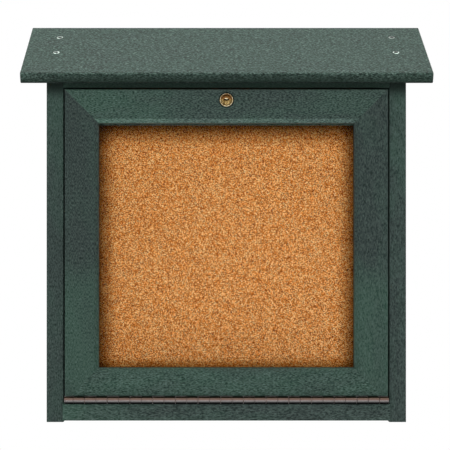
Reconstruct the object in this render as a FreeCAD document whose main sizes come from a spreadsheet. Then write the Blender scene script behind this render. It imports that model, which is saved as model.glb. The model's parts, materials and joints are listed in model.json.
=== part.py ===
import FreeCAD, Part
import os
import Sketcher

# Lockable notice board for a wall: a case of recycled plastic boards under a sloped roof board,
# with a cork sheet inside and a windowed door that is hinged along its bottom edge.
# Millimetres. Seen from the front, +X is right, +Y is back towards the wall and +Z is up.
# The origin is the middle of the four wall-fixing holes, on the plane of the wall.

doc = FreeCAD.newDocument("notice_board")
sizes = doc.addObject("Spreadsheet::Sheet", "Sizes")
places = doc.addObject("App::VarSet", "Places")
aliases = []
sub_parts = {}

X_WAY = FreeCAD.Vector(1, 0, 0)
Y_WAY = FreeCAD.Vector(0, 1, 0)
Z_WAY = FreeCAD.Vector(0, 0, 1)
UPRIGHT = FreeCAD.Rotation()
HALF_TURN_ABOUT_X = FreeCAD.Rotation(X_WAY, 180)
HALF_TURN_ABOUT_Y = FreeCAD.Rotation(Y_WAY, 180)
Z_TO_RIGHT = FreeCAD.Rotation(Y_WAY, 90)
Z_TO_LEFT = FreeCAD.Rotation(Y_WAY, -90)
Z_TO_FRONT = FreeCAD.Rotation(X_WAY, 90)
Z_TO_BACK = FreeCAD.Rotation(X_WAY, -90)
NEAR = 0.001


# Sizes and the places that follow from them

def add_size(alias, value, meaning):
    row = str(len(aliases) + 1)
    sizes.set("A" + row, meaning)
    sizes.set("B" + row, str(value))
    sizes.setAlias("B" + row, alias)
    aliases.append(alias)


def add_place(name, expression, meaning):
    places.addProperty("App::PropertyFloat", name, "Places", meaning)
    places.setExpression(name, expression)


def set_sizes():
    add_size("case_width", 406.4, "outside width over the two side boards")
    add_size("case_depth", 88.9, "side boards, front edge to wall")
    add_size("board", 19.05, "thickness of the case boards")
    add_size("ease", 1.0, "rounding of the boards' worked edges")
    add_size("bottom_raise", 2.6, "underside of the bottom board above the side boards' feet")
    add_size("rail_width", 38.1, "height of each hanging rail")
    add_size("panel_thickness", 6.35, "back panel")
    add_size("panel_gap", 0.3, "back panel and cork, gap at their edges")
    add_size("cork_thickness", 6.35, "cork sheet")
    add_size("wall_hole_inset", 31.75, "wall-fixing hole from the side board's inner face")
    add_size("wall_hole_radius", 3.25, "wall-fixing hole in rail and panel")
    add_size("wall_head_radius", 7.0, "hole in the cork for the fixing's head and washer")
    add_size("roof_side_overhang", 25.4, "roof board past each side board")
    add_size("roof_width", 139.7, "roof board, front to back along its slope")
    add_size("roof_thickness", 12.7, "roof board")
    add_size("roof_ease", 3.0, "rounding of the roof board's long edges")
    add_size("roof_end_ease", 0.8, "rounding of the roof board's sawn ends")
    add_size("roof_pitch", 30, "slope of the roof in degrees")
    add_size("roof_gap", 0.2, "top board's front edge to the roof's underside")
    add_size("roof_screw_inset", 61.0, "front roof screw from the roof's front edge")
    add_size("roof_screw_pitch", 46.1, "front roof screw to rear roof screw")
    add_size("door_thickness", 19.05, "door frame boards")
    add_size("door_proud", 9.5, "door face in front of the side boards")
    add_size("door_side_gap", 2.45, "door edge to side board")
    add_size("door_top_gap", 2.6, "door's top edge to the top board")
    add_size("frame_width", 37.7, "stiles and top rail of the door")
    add_size("bottom_rail_width", 31.4, "bottom rail, trimmed to make room for the hinge")
    add_size("opening_height", 275.7, "window opening")
    add_size("frame_chamfer", 4.6, "chamfer round the window opening")
    add_size("rabbet_width", 8.0, "seat of the window sheet, from the opening")
    add_size("rabbet_gap", 0.2, "window sheet to the strips that hold it")
    add_size("window_thickness", 3.0, "window sheet")
    add_size("window_gap", 1.0, "window sheet to the wall of its seat")
    add_size("strip_thickness", 3.2, "window strips")
    add_size("strip_reach", 15.0, "outer edge of the window strips from the opening")
    add_size("strip_set_back", 1.0, "inner edge of the side and bottom strips behind the opening")
    add_size("top_strip_drop", 1.1, "top strip showing below the opening's top edge")
    add_size("strip_joint", 0.2, "gap where two window strips meet")
    add_size("strip_screw_reach", 11.5, "window strip screws from the opening")
    add_size("strip_screw_pitch", 100.0, "window strip screws, middle to outer")
    add_size("stop_width", 19.05, "door stop, across the front")
    add_size("stop_thickness", 12.7, "door stop, front to back")
    add_size("stop_screw_inset", 40.0, "end screws of a door stop from its ends")
    add_size("seal_width", 13.0, "foam seal strip")
    add_size("seal_thickness", 3.0, "foam seal strip")
    add_size("seal_gap", 0.3, "foam seal strip to the closed door")
    add_size("seal_end", 6.0, "foam seal strip short of the stop's ends")
    add_size("leaf_gauge", 1.9, "sheet of the hinge leaves")
    add_size("pin_diameter", 4.76, "hinge pin")
    add_size("pin_clearance", 0.05, "hinge pin to knuckle, on the radius")
    add_size("knuckle_pitch", 12.7, "one knuckle and its gap")
    add_size("knuckle_gap", 0.4, "between neighbouring knuckles, with the leaves centred")
    add_size("leaf_play", 0.25, "door leaf to the left of the middle of its play along the pin")
    add_size("leaf_reach", 18.0, "hinge axis to the leaf's back edge")
    add_size("leaf_relief", 0.4, "cut-back of a leaf behind the other leaf's knuckles")
    add_size("hinge_end_gap", 0.1, "hinge short of the door's width at each end")
    add_size("hinge_screw_pitch", 50.8, "hinge screws, one to the next")
    add_size("hinge_screw_reach", 12.5, "hinge axis to the hinge screws")
    add_size("hinge_screw_margin", 20.0, "least distance of a hinge screw from the hinge's end")
    add_size("screw_clearance", 0.1, "screw to its hole, on the radius")
    add_size("large_head", 8.0, "head of the roof and case screws")
    add_size("large_shank", 4.2, "shank of the roof and case screws")
    add_size("small_head", 5.6, "head of the hinge, panel, strip and strike screws")
    add_size("small_shank", 2.9, "shank of the hinge, panel, strip and strike screws")
    add_size("case_screw_length", 45.0, "case and door corner screws")
    add_size("roof_screw_length", 38.0, "roof screws")
    add_size("stop_screw_length", 32.0, "door stop screws")
    add_size("panel_screw_length", 19.0, "back panel screws")
    add_size("short_screw_length", 12.7, "hinge, window strip and strike screws")
    add_size("recess_reach", 0.30, "cross recess, centre to end, as a share of the head")
    add_size("recess_arm", 0.07, "cross recess, half of an arm's width, as a share of the head")
    add_size("recess_depth", 0.20, "cross recess, depth as a share of the head")
    add_size("board_screw_inset", 18.9, "case screws from the front of the board they enter")
    add_size("bottom_screw_pitch", 50.0, "front to rear screw of the bottom board")
    add_size("top_screw_pitch", 30.0, "front to rear screw of the top board")
    add_size("corner_screw_inset", 16.0, "door corner screws from the door's top and bottom")
    add_size("panel_screw_pitch", 110.0, "back panel screws, one to the next")
    add_size("lock_inset", 12.1, "lock axis below the door's top edge")
    add_size("bezel_lip", 1.35, "face of the lock body past its barrel, on the radius")
    add_size("bezel_proud", 2.4, "lock body in front of the door")
    add_size("bezel_round", 0.9, "rounding of the lock body's rim")
    add_size("barrel_radius", 6.35, "threaded barrel of the lock body")
    add_size("plug_radius", 4.25, "shaft of the lock plug")
    add_size("plug_clearance", 0.05, "plug to lock body, on the radius")
    add_size("plug_head_radius", 5.6, "face of the lock plug")
    add_size("plug_head_depth", 2.0, "flat part of the plug's head")
    add_size("plug_crown", 0.7, "crown of the plug's face")
    add_size("plug_floor_gap", 0.1, "plug's head to its seat")
    add_size("key_slot_width", 1.5, "key slot")
    add_size("key_slot_length", 6.4, "key slot")
    add_size("key_slot_depth", 9.0, "key slot")
    add_size("washer_gauge", 0.8, "lock washer")
    add_size("washer_rim", 2.15, "lock washer past the barrel, on the radius")
    add_size("nut_wall", 1.15, "lock nut, barrel to the middle of a flat")
    add_size("nut_thickness", 3.2, "lock nut")
    add_size("thread_past_nut", 0.9, "barrel beyond the nut")
    add_size("cam_gap", 0.15, "lock body to cam")
    add_size("cam_thickness", 2.0, "cam")
    add_size("cam_reach", 21.0, "lock axis to the cam's tip")
    add_size("cam_half_width", 5.0, "half of the cam's arm")
    add_size("cam_hub_radius", 7.0, "round end of the cam")
    add_size("cam_tip_round", 2.0, "corners of the cam's tip")
    add_size("tenon", 6.0, "square end of the plug, across its flats")
    add_size("tenon_clearance", 0.05, "tenon to cam, each side")
    add_size("cam_screw_radius", 1.5, "thread of the cam screw")
    add_size("cam_screw_length", 6.0, "cam screw in the plug")
    add_size("cam_screw_head", 8.4, "head of the cam screw")
    add_size("cam_screw_head_height", 2.0, "head of the cam screw")
    add_size("strike_gauge", 1.5, "strike plate")
    add_size("strike_length", 44.0, "strike plate, left to right")
    add_size("strike_depth", 18.0, "strike plate, front to back")
    add_size("strike_seat_gap", 0.1, "strike plate to its recess")
    add_size("strike_screw_half_pitch", 18.0, "strike screw from the plate's middle")
    add_size("slot_clearance", 1.5, "cam to the slot that it turns into")


def set_places():
    half = "Sizes.case_width / 2 - Sizes.board"
    add_place("inner_half", half, "middle to a side board's inner face")
    add_place("board_top", "Sizes.bottom_raise + Sizes.board", "bottom board's top above the feet")
    roof = "Sizes.case_width + 2 * Sizes.roof_side_overhang"
    add_place("roof_length", roof, "roof board, left to right")
    pin = "Sizes.pin_diameter / 2 + Sizes.pin_clearance"
    add_place("knuckle_bore", pin, "inner radius of the knuckles")
    add_place("knuckle_radius", "Places.knuckle_bore + Sizes.leaf_gauge", "outer radius of the knuckles")
    add_place("door_half", "Places.inner_half - Sizes.door_side_gap", "half of the door's width")
    add_place("opening_width", "2 * (Places.door_half - Sizes.frame_width)", "window opening")
    barrel = "Places.board_top + 2 * Places.knuckle_radius"
    add_place("door_bottom", barrel, "door's bottom edge above the feet")
    add_place("opening_bottom", "Places.door_bottom + Sizes.bottom_rail_width", "above the feet")
    add_place("opening_top", "Places.opening_bottom + Sizes.opening_height", "above the feet")
    add_place("door_top", "Places.opening_top + Sizes.frame_width", "above the feet")
    add_place("header", "Places.door_top + Sizes.door_top_gap", "top board's underside above the feet")
    seat_height = "Places.header + Sizes.board + Sizes.roof_gap"
    add_place("roof_seat", seat_height, "roof's underside above the feet, over the side boards' fronts")
    add_place("lower_hole", "Places.board_top + Sizes.rail_width / 2", "above the feet")
    add_place("upper_hole", "Places.header - Sizes.rail_width / 2", "above the feet")
    add_place("hole_rise", "Places.upper_hole - Places.lower_hole", "between the rows of wall holes")
    add_place("hole_half", "Places.inner_half - Sizes.wall_hole_inset", "middle to a wall hole")
    feet = "-(Places.lower_hole + Places.upper_hole) / 2"
    add_place("feet", feet, "side boards' feet in the part's own frame")
    add_place("panel_face", "-(Sizes.board + Sizes.panel_thickness)", "front of the back panel")
    add_place("cork_face", "Places.panel_face - Sizes.cork_thickness", "front of the cork")
    add_place("door_face", "-(Sizes.case_depth + Sizes.door_proud)", "front of the door")
    add_place("door_back", "Places.door_face + Sizes.door_thickness", "back of the door")
    add_place("axis_y", "Places.door_face - Places.knuckle_radius", "hinge axis")
    add_place("axis_z", "Places.feet + Places.board_top + Places.knuckle_radius", "hinge axis")
    hinge = "2 * (Places.door_half - Sizes.hinge_end_gap)"
    add_place("hinge_length", hinge, "hinge, end to end")
    odd = "2 * floor((Places.hinge_length / Sizes.knuckle_pitch - 1) / 2) + 1"
    add_place("whole_knuckles", odd, "knuckles between the two cut end knuckles")
    add_place("end_index", "(Places.whole_knuckles + 1) / 2", "pitches from the middle to an end knuckle")
    reach = "(Places.hinge_length / 2 - Sizes.hinge_screw_margin) / Sizes.hinge_screw_pitch"
    add_place("screws_each_side", "floor(" + reach + ")", "hinge screws on each side of the middle one")
    rabbet = "Sizes.window_thickness + Sizes.rabbet_gap"
    add_place("rabbet_depth", rabbet, "seat of the window sheet, from the door's back")
    add_place("strip_back", "Places.door_back + Sizes.strip_thickness", "back of the window strips")
    seal = "Places.door_back + Sizes.seal_gap"
    add_place("seal_face", seal, "front of the foam seal strips")
    add_place("stop_face", "Places.seal_face + Sizes.seal_thickness", "front of the door stops")
    add_place("stop_inner", "Places.inner_half - Sizes.stop_width", "middle to a door stop")
    add_place("lock_z", "Places.feet + Places.door_top - Sizes.lock_inset", "lock axis")
    add_place("bezel_radius", "Sizes.barrel_radius + Sizes.bezel_lip", "face of the lock body")
    add_place("washer_radius", "Sizes.barrel_radius + Sizes.washer_rim", "lock washer")
    flats = "2 * (Sizes.barrel_radius + Sizes.nut_wall)"
    add_place("nut_across", flats, "lock nut, across its flats")
    past = "Sizes.washer_gauge + Sizes.nut_thickness + Sizes.thread_past_nut"
    add_place("barrel_end", "Sizes.door_thickness + " + past, "lock body behind the door's face")
    add_place("cam_front", "Places.barrel_end + Sizes.cam_gap", "cam behind the door's face")
    add_place("cam_middle", "Places.door_face + Places.cam_front + Sizes.cam_thickness / 2", "cam in y")
    rise = "Sizes.lock_inset + Sizes.door_top_gap"
    add_place("lock_to_header", rise, "lock axis to the top board's underside")
    corner = "sqrt(Sizes.cam_reach ^ 2 + Sizes.cam_half_width ^ 2)"
    add_place("cam_corner", corner, "lock axis to the corner of the cam's tip")
    sweep = "sqrt(Places.cam_corner ^ 2 - Places.lock_to_header ^ 2) + Sizes.slot_clearance"
    add_place("slot_right", sweep, "slot's end on the side that the cam turns in from")
    add_place("slot_left", "Sizes.cam_half_width + Sizes.slot_clearance", "slot's other end")
    add_place("slot_middle", "(Places.slot_right - Places.slot_left) / 2", "middle of slot and plate")
    deep = "Places.cam_corner - Places.lock_to_header + Sizes.slot_clearance"
    add_place("slot_depth", deep, "slot above the top board's underside")
    add_place("slot_half_width", "Sizes.cam_thickness / 2 + Sizes.slot_clearance", "slot in y")


# Ways of making a piece

def origin_feature(body, role):
    for feature in body.Origin.OriginFeatures:
        if feature.Role == role:
            return feature
    raise ValueError(role)


def new_body(name):
    body = doc.addObject("PartDesign::Body", name)
    body.Label = name
    return body


def keep(name, piece):
    piece.Label = name
    sub_parts[name] = piece
    return piece


def seat(piece, x, y, z, turn=UPRIGHT):
    piece.Placement = FreeCAD.Placement(FreeCAD.Vector(), turn)
    piece.setExpression("Placement.Base.x", x)
    piece.setExpression("Placement.Base.y", y)
    piece.setExpression("Placement.Base.z", z)


def new_sketch(body, plane, offset=("0", "0", "0")):
    sketch = body.newObject("Sketcher::SketchObject", body.Name + "_sketch")
    sketch.AttachmentSupport = [(origin_feature(body, plane), "")]
    sketch.MapMode = "FlatFace"
    for axis, expression in zip("xyz", offset):
        sketch.setExpression("AttachmentOffset.Base." + axis, expression)
    return sketch


def pin_point(sketch, geometry, point, x, y):
    # Both coordinates of a sketch point, from the sketch's origin, as named constraints.
    for kind, expression in (("DistanceX", x), ("DistanceY", y)):
        value = float(sketch.evalExpression(expression))
        constraint = Sketcher.Constraint(kind, -1, 1, geometry, point, value)
        index = sketch.addConstraint(constraint)
        name = "_".join((kind, str(geometry), str(point)))
        sketch.renameConstraint(index, name)
        sketch.setExpression("Constraints." + name, expression)


def draw_polygon(sketch, corners):
    first = sketch.GeometryCount
    last = first + len(corners) - 1
    spots = []
    for x, y in corners:
        spot = FreeCAD.Vector(float(sketch.evalExpression(x)), float(sketch.evalExpression(y)), 0)
        spots.append(spot)
    for start, end in zip(spots, spots[1:] + spots[:1]):
        sketch.addGeometry(Part.LineSegment(start, end))
    for line in range(first, last + 1):
        following = first if line == last else line + 1
        sketch.addConstraint(Sketcher.Constraint("Coincident", line, 2, following, 1))
    for line, (x, y) in enumerate(corners, start=first):
        pin_point(sketch, line, 1, x, y)


def draw_rectangle(sketch, left, low, right, high):
    draw_polygon(sketch, ((left, low), (right, low), (right, high), (left, high)))


def draw_circle(sketch, x, y, radius):
    centre = FreeCAD.Vector(float(sketch.evalExpression(x)), float(sketch.evalExpression(y)), 0)
    value = float(sketch.evalExpression(radius))
    circle = sketch.addGeometry(Part.Circle(centre, Z_WAY, value))
    pin_point(sketch, circle, 3, x, y)
    index = sketch.addConstraint(Sketcher.Constraint("Radius", circle, value))
    name = "Radius_" + str(circle)
    sketch.renameConstraint(index, name)
    sketch.setExpression("Constraints." + name, radius)


def pad(body, sketch, length, both_ways=False, backwards=False):
    feature = body.newObject("PartDesign::Pad", body.Name + "_pad")
    feature.Profile = sketch
    feature.setExpression("Length", length)
    feature.Midplane = both_ways
    feature.Reversed = backwards
    body.Tip = feature
    return feature


def pocket(body, sketch, depth, backwards=False):
    doc.recompute()
    before = body.Shape.Volume
    feature = body.newObject("PartDesign::Pocket", body.Name + "_pocket")
    feature.Profile = sketch
    feature.setExpression("Length", depth)
    feature.Reversed = backwards
    body.Tip = feature
    doc.recompute()
    if not body.Shape.Volume < before:
        raise ValueError("a pocket cuts nothing in " + body.Name)
    return feature


def revolve(body, sketch):
    feature = body.newObject("PartDesign::Revolution", body.Name + "_turned")
    feature.Profile = sketch
    feature.ReferenceAxis = (sketch, ["V_Axis"])
    feature.Angle = 360
    body.Tip = feature
    return feature


def repeat(body, axis, pitch, count, backwards=False):
    feature = body.newObject("PartDesign::LinearPattern", body.Name + "_row")
    feature.TransformMode = "Whole shape"
    feature.Direction = (origin_feature(body, axis), [""])
    feature.Mode = "Spacing"
    feature.Reversed = backwards
    feature.setExpression("Offset", pitch)
    feature.setExpression("Occurrences", count)
    body.Tip = feature


def mirror(body, plane):
    feature = body.newObject("PartDesign::Mirrored", body.Name + "_pair")
    feature.TransformMode = "Whole shape"
    feature.MirrorPlane = (origin_feature(body, plane), [""])
    body.Tip = feature


def runs_along(edge, way):
    span = edge.Vertexes[-1].Point - edge.Vertexes[0].Point
    return span.Length > NEAR and span.cross(way).Length < NEAR * span.Length


def round_edges(body, radius, wanted):
    doc.recompute()
    base = body.Tip
    names = []
    for number, edge in enumerate(base.Shape.Edges, start=1):
        if wanted(edge):
            names.append("Edge" + str(number))
    if not names:
        raise ValueError("no edge to round on " + body.Name)
    feature = body.newObject("PartDesign::Fillet", body.Name + "_ease")
    feature.Base = (base, names)
    feature.setExpression("Radius", radius)
    body.Tip = feature


def cut_with(name, blank, tools):
    # A piece as it is after its holes are drilled. The tools are hole-shaped solids.
    piece = blank
    for tool in tools:
        cut = doc.addObject("Part::Cut", name)
        cut.Base = piece
        cut.Tool = tool
        piece = cut
        piece.Label = name + "_with_" + tool.Name
    return keep(name, piece)


def cross_board(name, length, depth, height):
    # A board that lies left to right. Its own frame is at the middle of its front bottom edge.
    body = new_body(name)
    sketch = new_sketch(body, "YZ_Plane")
    draw_rectangle(sketch, "0", "0", depth, height)
    pad(body, sketch, length, both_ways=True)
    return body


def countersunk(name, at, head, shank, length, clearance="0"):
    # A screw that points down its own -Z, with the top of its head at the place given.
    body = new_body(name)
    x, y, z = at
    section = new_sketch(body, "XZ_Plane", (x, z, "-(" + y + ")"))
    head_edge = head + " / 2 + " + clearance
    shank_edge = shank + " / 2 + " + clearance
    neck = "-(" + head + " - " + shank + ") / 2"
    shoulder = "-" + length + " + " + shank
    tip = "-" + length + " - " + clearance
    profile = [("0", "0"), (head_edge, "0"), (shank_edge, neck)]
    profile += [(shank_edge, shoulder), ("0", tip)]
    draw_polygon(section, profile)
    revolve(body, section)
    if clearance == "0":
        cut_cross_recess(body, head, at)
    return body


def cut_cross_recess(body, head, at):
    reach = head + " * Sizes.recess_reach"
    arm = head + " * Sizes.recess_arm"
    recess = new_sketch(body, "XY_Plane", at)
    turns = ((arm, reach), (arm, arm), (reach, arm), (reach, "-" + arm), (arm, "-" + arm))
    turns += ((arm, "-" + reach), ("-" + arm, "-" + reach), ("-" + arm, "-" + arm))
    turns += (("-" + reach, "-" + arm), ("-" + reach, arm), ("-" + arm, arm), ("-" + arm, reach))
    draw_polygon(recess, turns)
    pocket(body, recess, head + " * Sizes.recess_depth")


def screw_set(name, arrange, at, head, shank, length):
    # The screws of one kind, kept as one node, and the matching drill that cuts their holes.
    screws = countersunk(name, at, head, shank, length)
    arrange(screws)
    keep(name, screws)
    drill = countersunk(name + "_drill", at, head, shank, length, "Sizes.screw_clearance")
    arrange(drill)
    return drill


# Case

def make_side_board(name, x, tools):
    body = new_body(name + "_blank")
    sketch = new_sketch(body, "YZ_Plane")
    rear = "Places.roof_seat + Sizes.case_depth * tan(Sizes.roof_pitch)"
    front = ("0", "Places.roof_seat")
    draw_polygon(sketch, (("0", "0"), ("Sizes.case_depth", "0"), ("Sizes.case_depth", rear), front))
    pad(body, sketch, "Sizes.board")
    round_edges(body, "Sizes.ease", lambda edge: runs_along(edge, Z_WAY) and edge.CenterOfMass.y < NEAR)
    seat(body, x, "-Sizes.case_depth", "Places.feet")
    cut_with(name, body, tools)


def is_front_edge(edge):
    return runs_along(edge, X_WAY) and edge.CenterOfMass.y < NEAR


def make_bottom_board(tools):
    depth = "Sizes.case_depth + Sizes.door_proud"
    body = cross_board("bottom_board_blank", "2 * Places.inner_half", depth, "Sizes.board")
    round_edges(body, "Sizes.ease", is_front_edge)
    seat(body, "0", "Places.door_face", "Places.feet + Sizes.bottom_raise")
    cut_with("bottom_board", body, tools)


def make_top_board(tools):
    depth = "Sizes.case_depth + Places.panel_face"
    body = cross_board("top_board_blank", "2 * Places.inner_half", depth, "Sizes.board")
    round_edges(body, "Sizes.ease", lambda edge: is_front_edge(edge) and edge.CenterOfMass.z < NEAR)
    recess = new_sketch(body, "XY_Plane", ("Places.slot_middle", "Places.cam_middle + Sizes.case_depth", "0"))
    half_length = "(Sizes.strike_length / 2 + Sizes.strike_seat_gap)"
    half_depth = "(Sizes.strike_depth / 2 + Sizes.strike_seat_gap)"
    draw_rectangle(recess, "-" + half_length, "-" + half_depth, half_length, half_depth)
    pocket(body, recess, "Sizes.strike_gauge + Sizes.strike_seat_gap", backwards=True)
    slot = new_sketch(body, "XY_Plane", ("0", "Places.cam_middle + Sizes.case_depth", "0"))
    draw_rectangle(slot, "-Places.slot_left", "-Places.slot_half_width", "Places.slot_right",
                   "Places.slot_half_width")
    pocket(body, slot, "Places.slot_depth", backwards=True)
    seat(body, "0", "-Sizes.case_depth", "Places.feet + Places.header")
    cut_with("top_board", body, tools)


def make_hanging_rail(name, hole, tools):
    body = cross_board(name + "_blank", "2 * Places.inner_half", "Sizes.board", "Sizes.rail_width")
    seat(body, "0", "-Sizes.board", "Places.feet + " + hole + " - Sizes.rail_width / 2")
    cut_with(name, body, tools)


def make_back_panel(tools):
    width = "2 * (Places.inner_half - Sizes.panel_gap)"
    underside = "Places.roof_seat + (Sizes.case_depth + Places.panel_face) * tan(Sizes.roof_pitch)"
    height = underside + " - Places.board_top - 2 * Sizes.panel_gap"
    body = cross_board("back_panel_blank", width, "Sizes.panel_thickness", height)
    seat(body, "0", "Places.panel_face", "Places.feet + Places.board_top + Sizes.panel_gap")
    cut_with("back_panel", body, tools)


def make_cork_sheet(tools):
    width = "2 * (Places.inner_half - Sizes.panel_gap)"
    height = "Places.header - Places.board_top - 2 * Sizes.panel_gap"
    body = cross_board("cork_sheet_blank", width, "Sizes.cork_thickness", height)
    seat(body, "0", "Places.cork_face", "Places.feet + Places.board_top + Sizes.panel_gap")
    cut_with("cork_sheet", body, tools)


def wall_holes(name, radius, depth, start):
    # Four round holes through the rails, the back panel or the cork, as one tool.
    body = new_body(name)
    sketch = new_sketch(body, "XZ_Plane")
    draw_circle(sketch, "Places.hole_half", "-Places.hole_rise / 2", radius)
    pad(body, sketch, depth, backwards=True)
    repeat(body, "Z_Axis", "Places.hole_rise", "2")
    mirror(body, "YZ_Plane")
    seat(body, "0", start, "0")
    return body


def make_door_stop(name, x, tools):
    body = new_body(name + "_blank")
    sketch = new_sketch(body, "XY_Plane")
    draw_rectangle(sketch, "0", "0", "Sizes.stop_width", "Sizes.stop_thickness")
    pad(body, sketch, "Places.header - Places.board_top")
    seat(body, x, "Places.stop_face", "Places.feet + Places.board_top")
    cut_with(name, body, tools)


def make_seal_strip(name, x):
    body = new_body(name)
    sketch = new_sketch(body, "XY_Plane")
    draw_rectangle(sketch, "-Sizes.seal_width / 2", "0", "Sizes.seal_width / 2", "Sizes.seal_thickness")
    pad(body, sketch, "Places.header - Places.board_top - 2 * Sizes.seal_end")
    seat(body, x, "Places.seal_face", "Places.feet + Places.board_top + Sizes.seal_end")
    keep(name, body)


def make_roof_board(tools):
    body = cross_board("roof_board_blank", "Places.roof_length", "Sizes.roof_width", "Sizes.roof_thickness")
    round_edges(body, "Sizes.roof_ease", lambda edge: runs_along(edge, X_WAY))
    end = float(body.evalExpression("Places.roof_length / 2"))
    round_edges(body, "Sizes.roof_end_ease", lambda edge: abs(abs(edge.CenterOfMass.x) - end) < NEAR)
    seat_on_roof(body)
    cut_with("roof_board", body, tools)


def seat_on_roof(piece):
    # The roof's own frame lies along its slope, from the roof's front bottom edge.
    run = "Sizes.roof_width * cos(Sizes.roof_pitch)"
    overhang = "(" + run + " - Sizes.case_depth)"
    drop = overhang + " * tan(Sizes.roof_pitch)"
    seat(piece, "0", "-" + run, "Places.feet + Places.roof_seat - " + drop,
         FreeCAD.Rotation(X_WAY, float(piece.evalExpression("Sizes.roof_pitch"))))
    piece.setExpression("Placement.Rotation.Angle", "Sizes.roof_pitch")


def make_strike_plate(tools):
    # The plate lies in the top board's underside and has the slot that the cam turns into.
    body = new_body("strike_plate_blank")
    sketch = new_sketch(body, "XY_Plane", ("Places.slot_middle", "0", "0"))
    draw_rectangle(sketch, "-Sizes.strike_length / 2", "-Sizes.strike_depth / 2",
                   "Sizes.strike_length / 2", "Sizes.strike_depth / 2")
    pad(body, sketch, "Sizes.strike_gauge")
    slot = new_sketch(body, "XY_Plane")
    draw_rectangle(slot, "-Places.slot_left", "-Places.slot_half_width", "Places.slot_right",
                   "Places.slot_half_width")
    pocket(body, slot, "Sizes.strike_gauge", backwards=True)
    seat(body, "0", "Places.cam_middle", "Places.feet + Places.header")
    cut_with("strike_plate", body, tools)


# Door frame and window

def make_door_member(name, inner, width, start, end, x, z, turn, tools):
    # One moulded and mitred length. Its own X runs along it from one corner of the opening to
    # the next, its Z from its outer edge to the opening, and its Y from the face to the back.
    body = new_body(name + "_blank")
    section = new_sketch(body, "YZ_Plane", ("0", "0", "-" + start))
    seat_line = width + " - Sizes.rabbet_width"
    floor = "Sizes.door_thickness - Places.rabbet_depth"
    profile = [("0", "0"), ("Sizes.door_thickness", "0"), ("Sizes.door_thickness", seat_line)]
    profile += [(floor, seat_line), (floor, width), ("Sizes.frame_chamfer", width)]
    profile += [("0", width + " - Sizes.frame_chamfer")]
    draw_polygon(section, profile)
    pad(body, section, inner + " + " + start + " + " + end)
    round_edges(body, "Sizes.ease", lambda edge: runs_along(edge, X_WAY) and edge.CenterOfMass.z < NEAR)
    mitre = new_sketch(body, "XZ_Plane")
    beyond = "(" + width + " + Sizes.ease)"
    low = "-Sizes.ease"
    draw_polygon(mitre, (("-" + beyond, low), ("Sizes.ease", beyond), ("-" + beyond, beyond)))
    far_low = inner + " + " + beyond
    far_high = inner + " - Sizes.ease"
    draw_polygon(mitre, ((far_low, low), (far_low, beyond), (far_high, beyond)))
    pocket(body, mitre, "Sizes.door_thickness", backwards=False)
    seat(body, x, "Places.door_face", z, turn)
    cut_with(name, body, tools)


def make_door_frame(corner_drill, top_tools, stile_drill, bottom_tools):
    half_opening = "Places.opening_width / 2"
    frame = "Sizes.frame_width"
    trimmed = "Sizes.bottom_rail_width"
    top = "Places.feet + Places.opening_top"
    bottom = "Places.feet + Places.opening_bottom"
    make_door_member("door_top_rail", "Places.opening_width", frame, frame, frame, half_opening,
                     "Places.feet + Places.door_top", HALF_TURN_ABOUT_Y, [corner_drill] + top_tools)
    make_door_member("door_bottom_rail", "Places.opening_width", trimmed, trimmed, trimmed,
                     "-" + half_opening, "Places.feet + Places.door_bottom", UPRIGHT,
                     [corner_drill] + bottom_tools)
    make_door_member("door_left_stile", "Sizes.opening_height", frame, frame, trimmed,
                     "-Places.door_half", top, Z_TO_RIGHT, [corner_drill, stile_drill])
    make_door_member("door_right_stile", "Sizes.opening_height", frame, trimmed, frame,
                     "Places.door_half", bottom, Z_TO_LEFT, [corner_drill, stile_drill])


def make_window_sheet():
    lap = "Sizes.rabbet_width - Sizes.window_gap"
    body = new_body("window_sheet")
    sketch = new_sketch(body, "XZ_Plane")
    draw_rectangle(sketch, "-Places.opening_width / 2 - (" + lap + ")", "-(" + lap + ")",
                   "Places.opening_width / 2 + (" + lap + ")", "Sizes.opening_height + " + lap)
    pad(body, sketch, "Sizes.window_thickness", backwards=True)
    seat(body, "0", "Places.door_back - Places.rabbet_depth", "Places.feet + Places.opening_bottom")
    keep("window_sheet", body)


def make_window_strip(name, left, low, right, high, tools):
    # A flat strip screwed to the back of the door, measured from the opening's bottom middle.
    body = new_body(name + "_blank")
    sketch = new_sketch(body, "XZ_Plane")
    draw_rectangle(sketch, left, low, right, high)
    pad(body, sketch, "Sizes.strip_thickness", backwards=True)
    seat(body, "0", "Places.door_back", "Places.feet + Places.opening_bottom")
    cut_with(name, body, tools)


def make_window_strips(rail_drill, stile_drill):
    outer = "(Places.opening_width / 2 + Sizes.strip_reach)"
    inner = "(Places.opening_width / 2 + Sizes.strip_set_back)"
    bottom = "-Sizes.strip_reach"
    top = "Sizes.opening_height + Sizes.strip_reach"
    short = "(" + inner + " - Sizes.strip_joint)"
    make_window_strip("left_window_strip", "-" + outer, bottom, "-" + inner, top, [stile_drill])
    make_window_strip("right_window_strip", inner, bottom, outer, top, [stile_drill])
    make_window_strip("bottom_window_strip", "-" + short, bottom, short, "-Sizes.strip_set_back",
                      [rail_drill])
    make_window_strip("top_window_strip", "-" + short, "Sizes.opening_height - Sizes.top_strip_drop",
                      short, top, [rail_drill])


# Hinge

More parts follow.
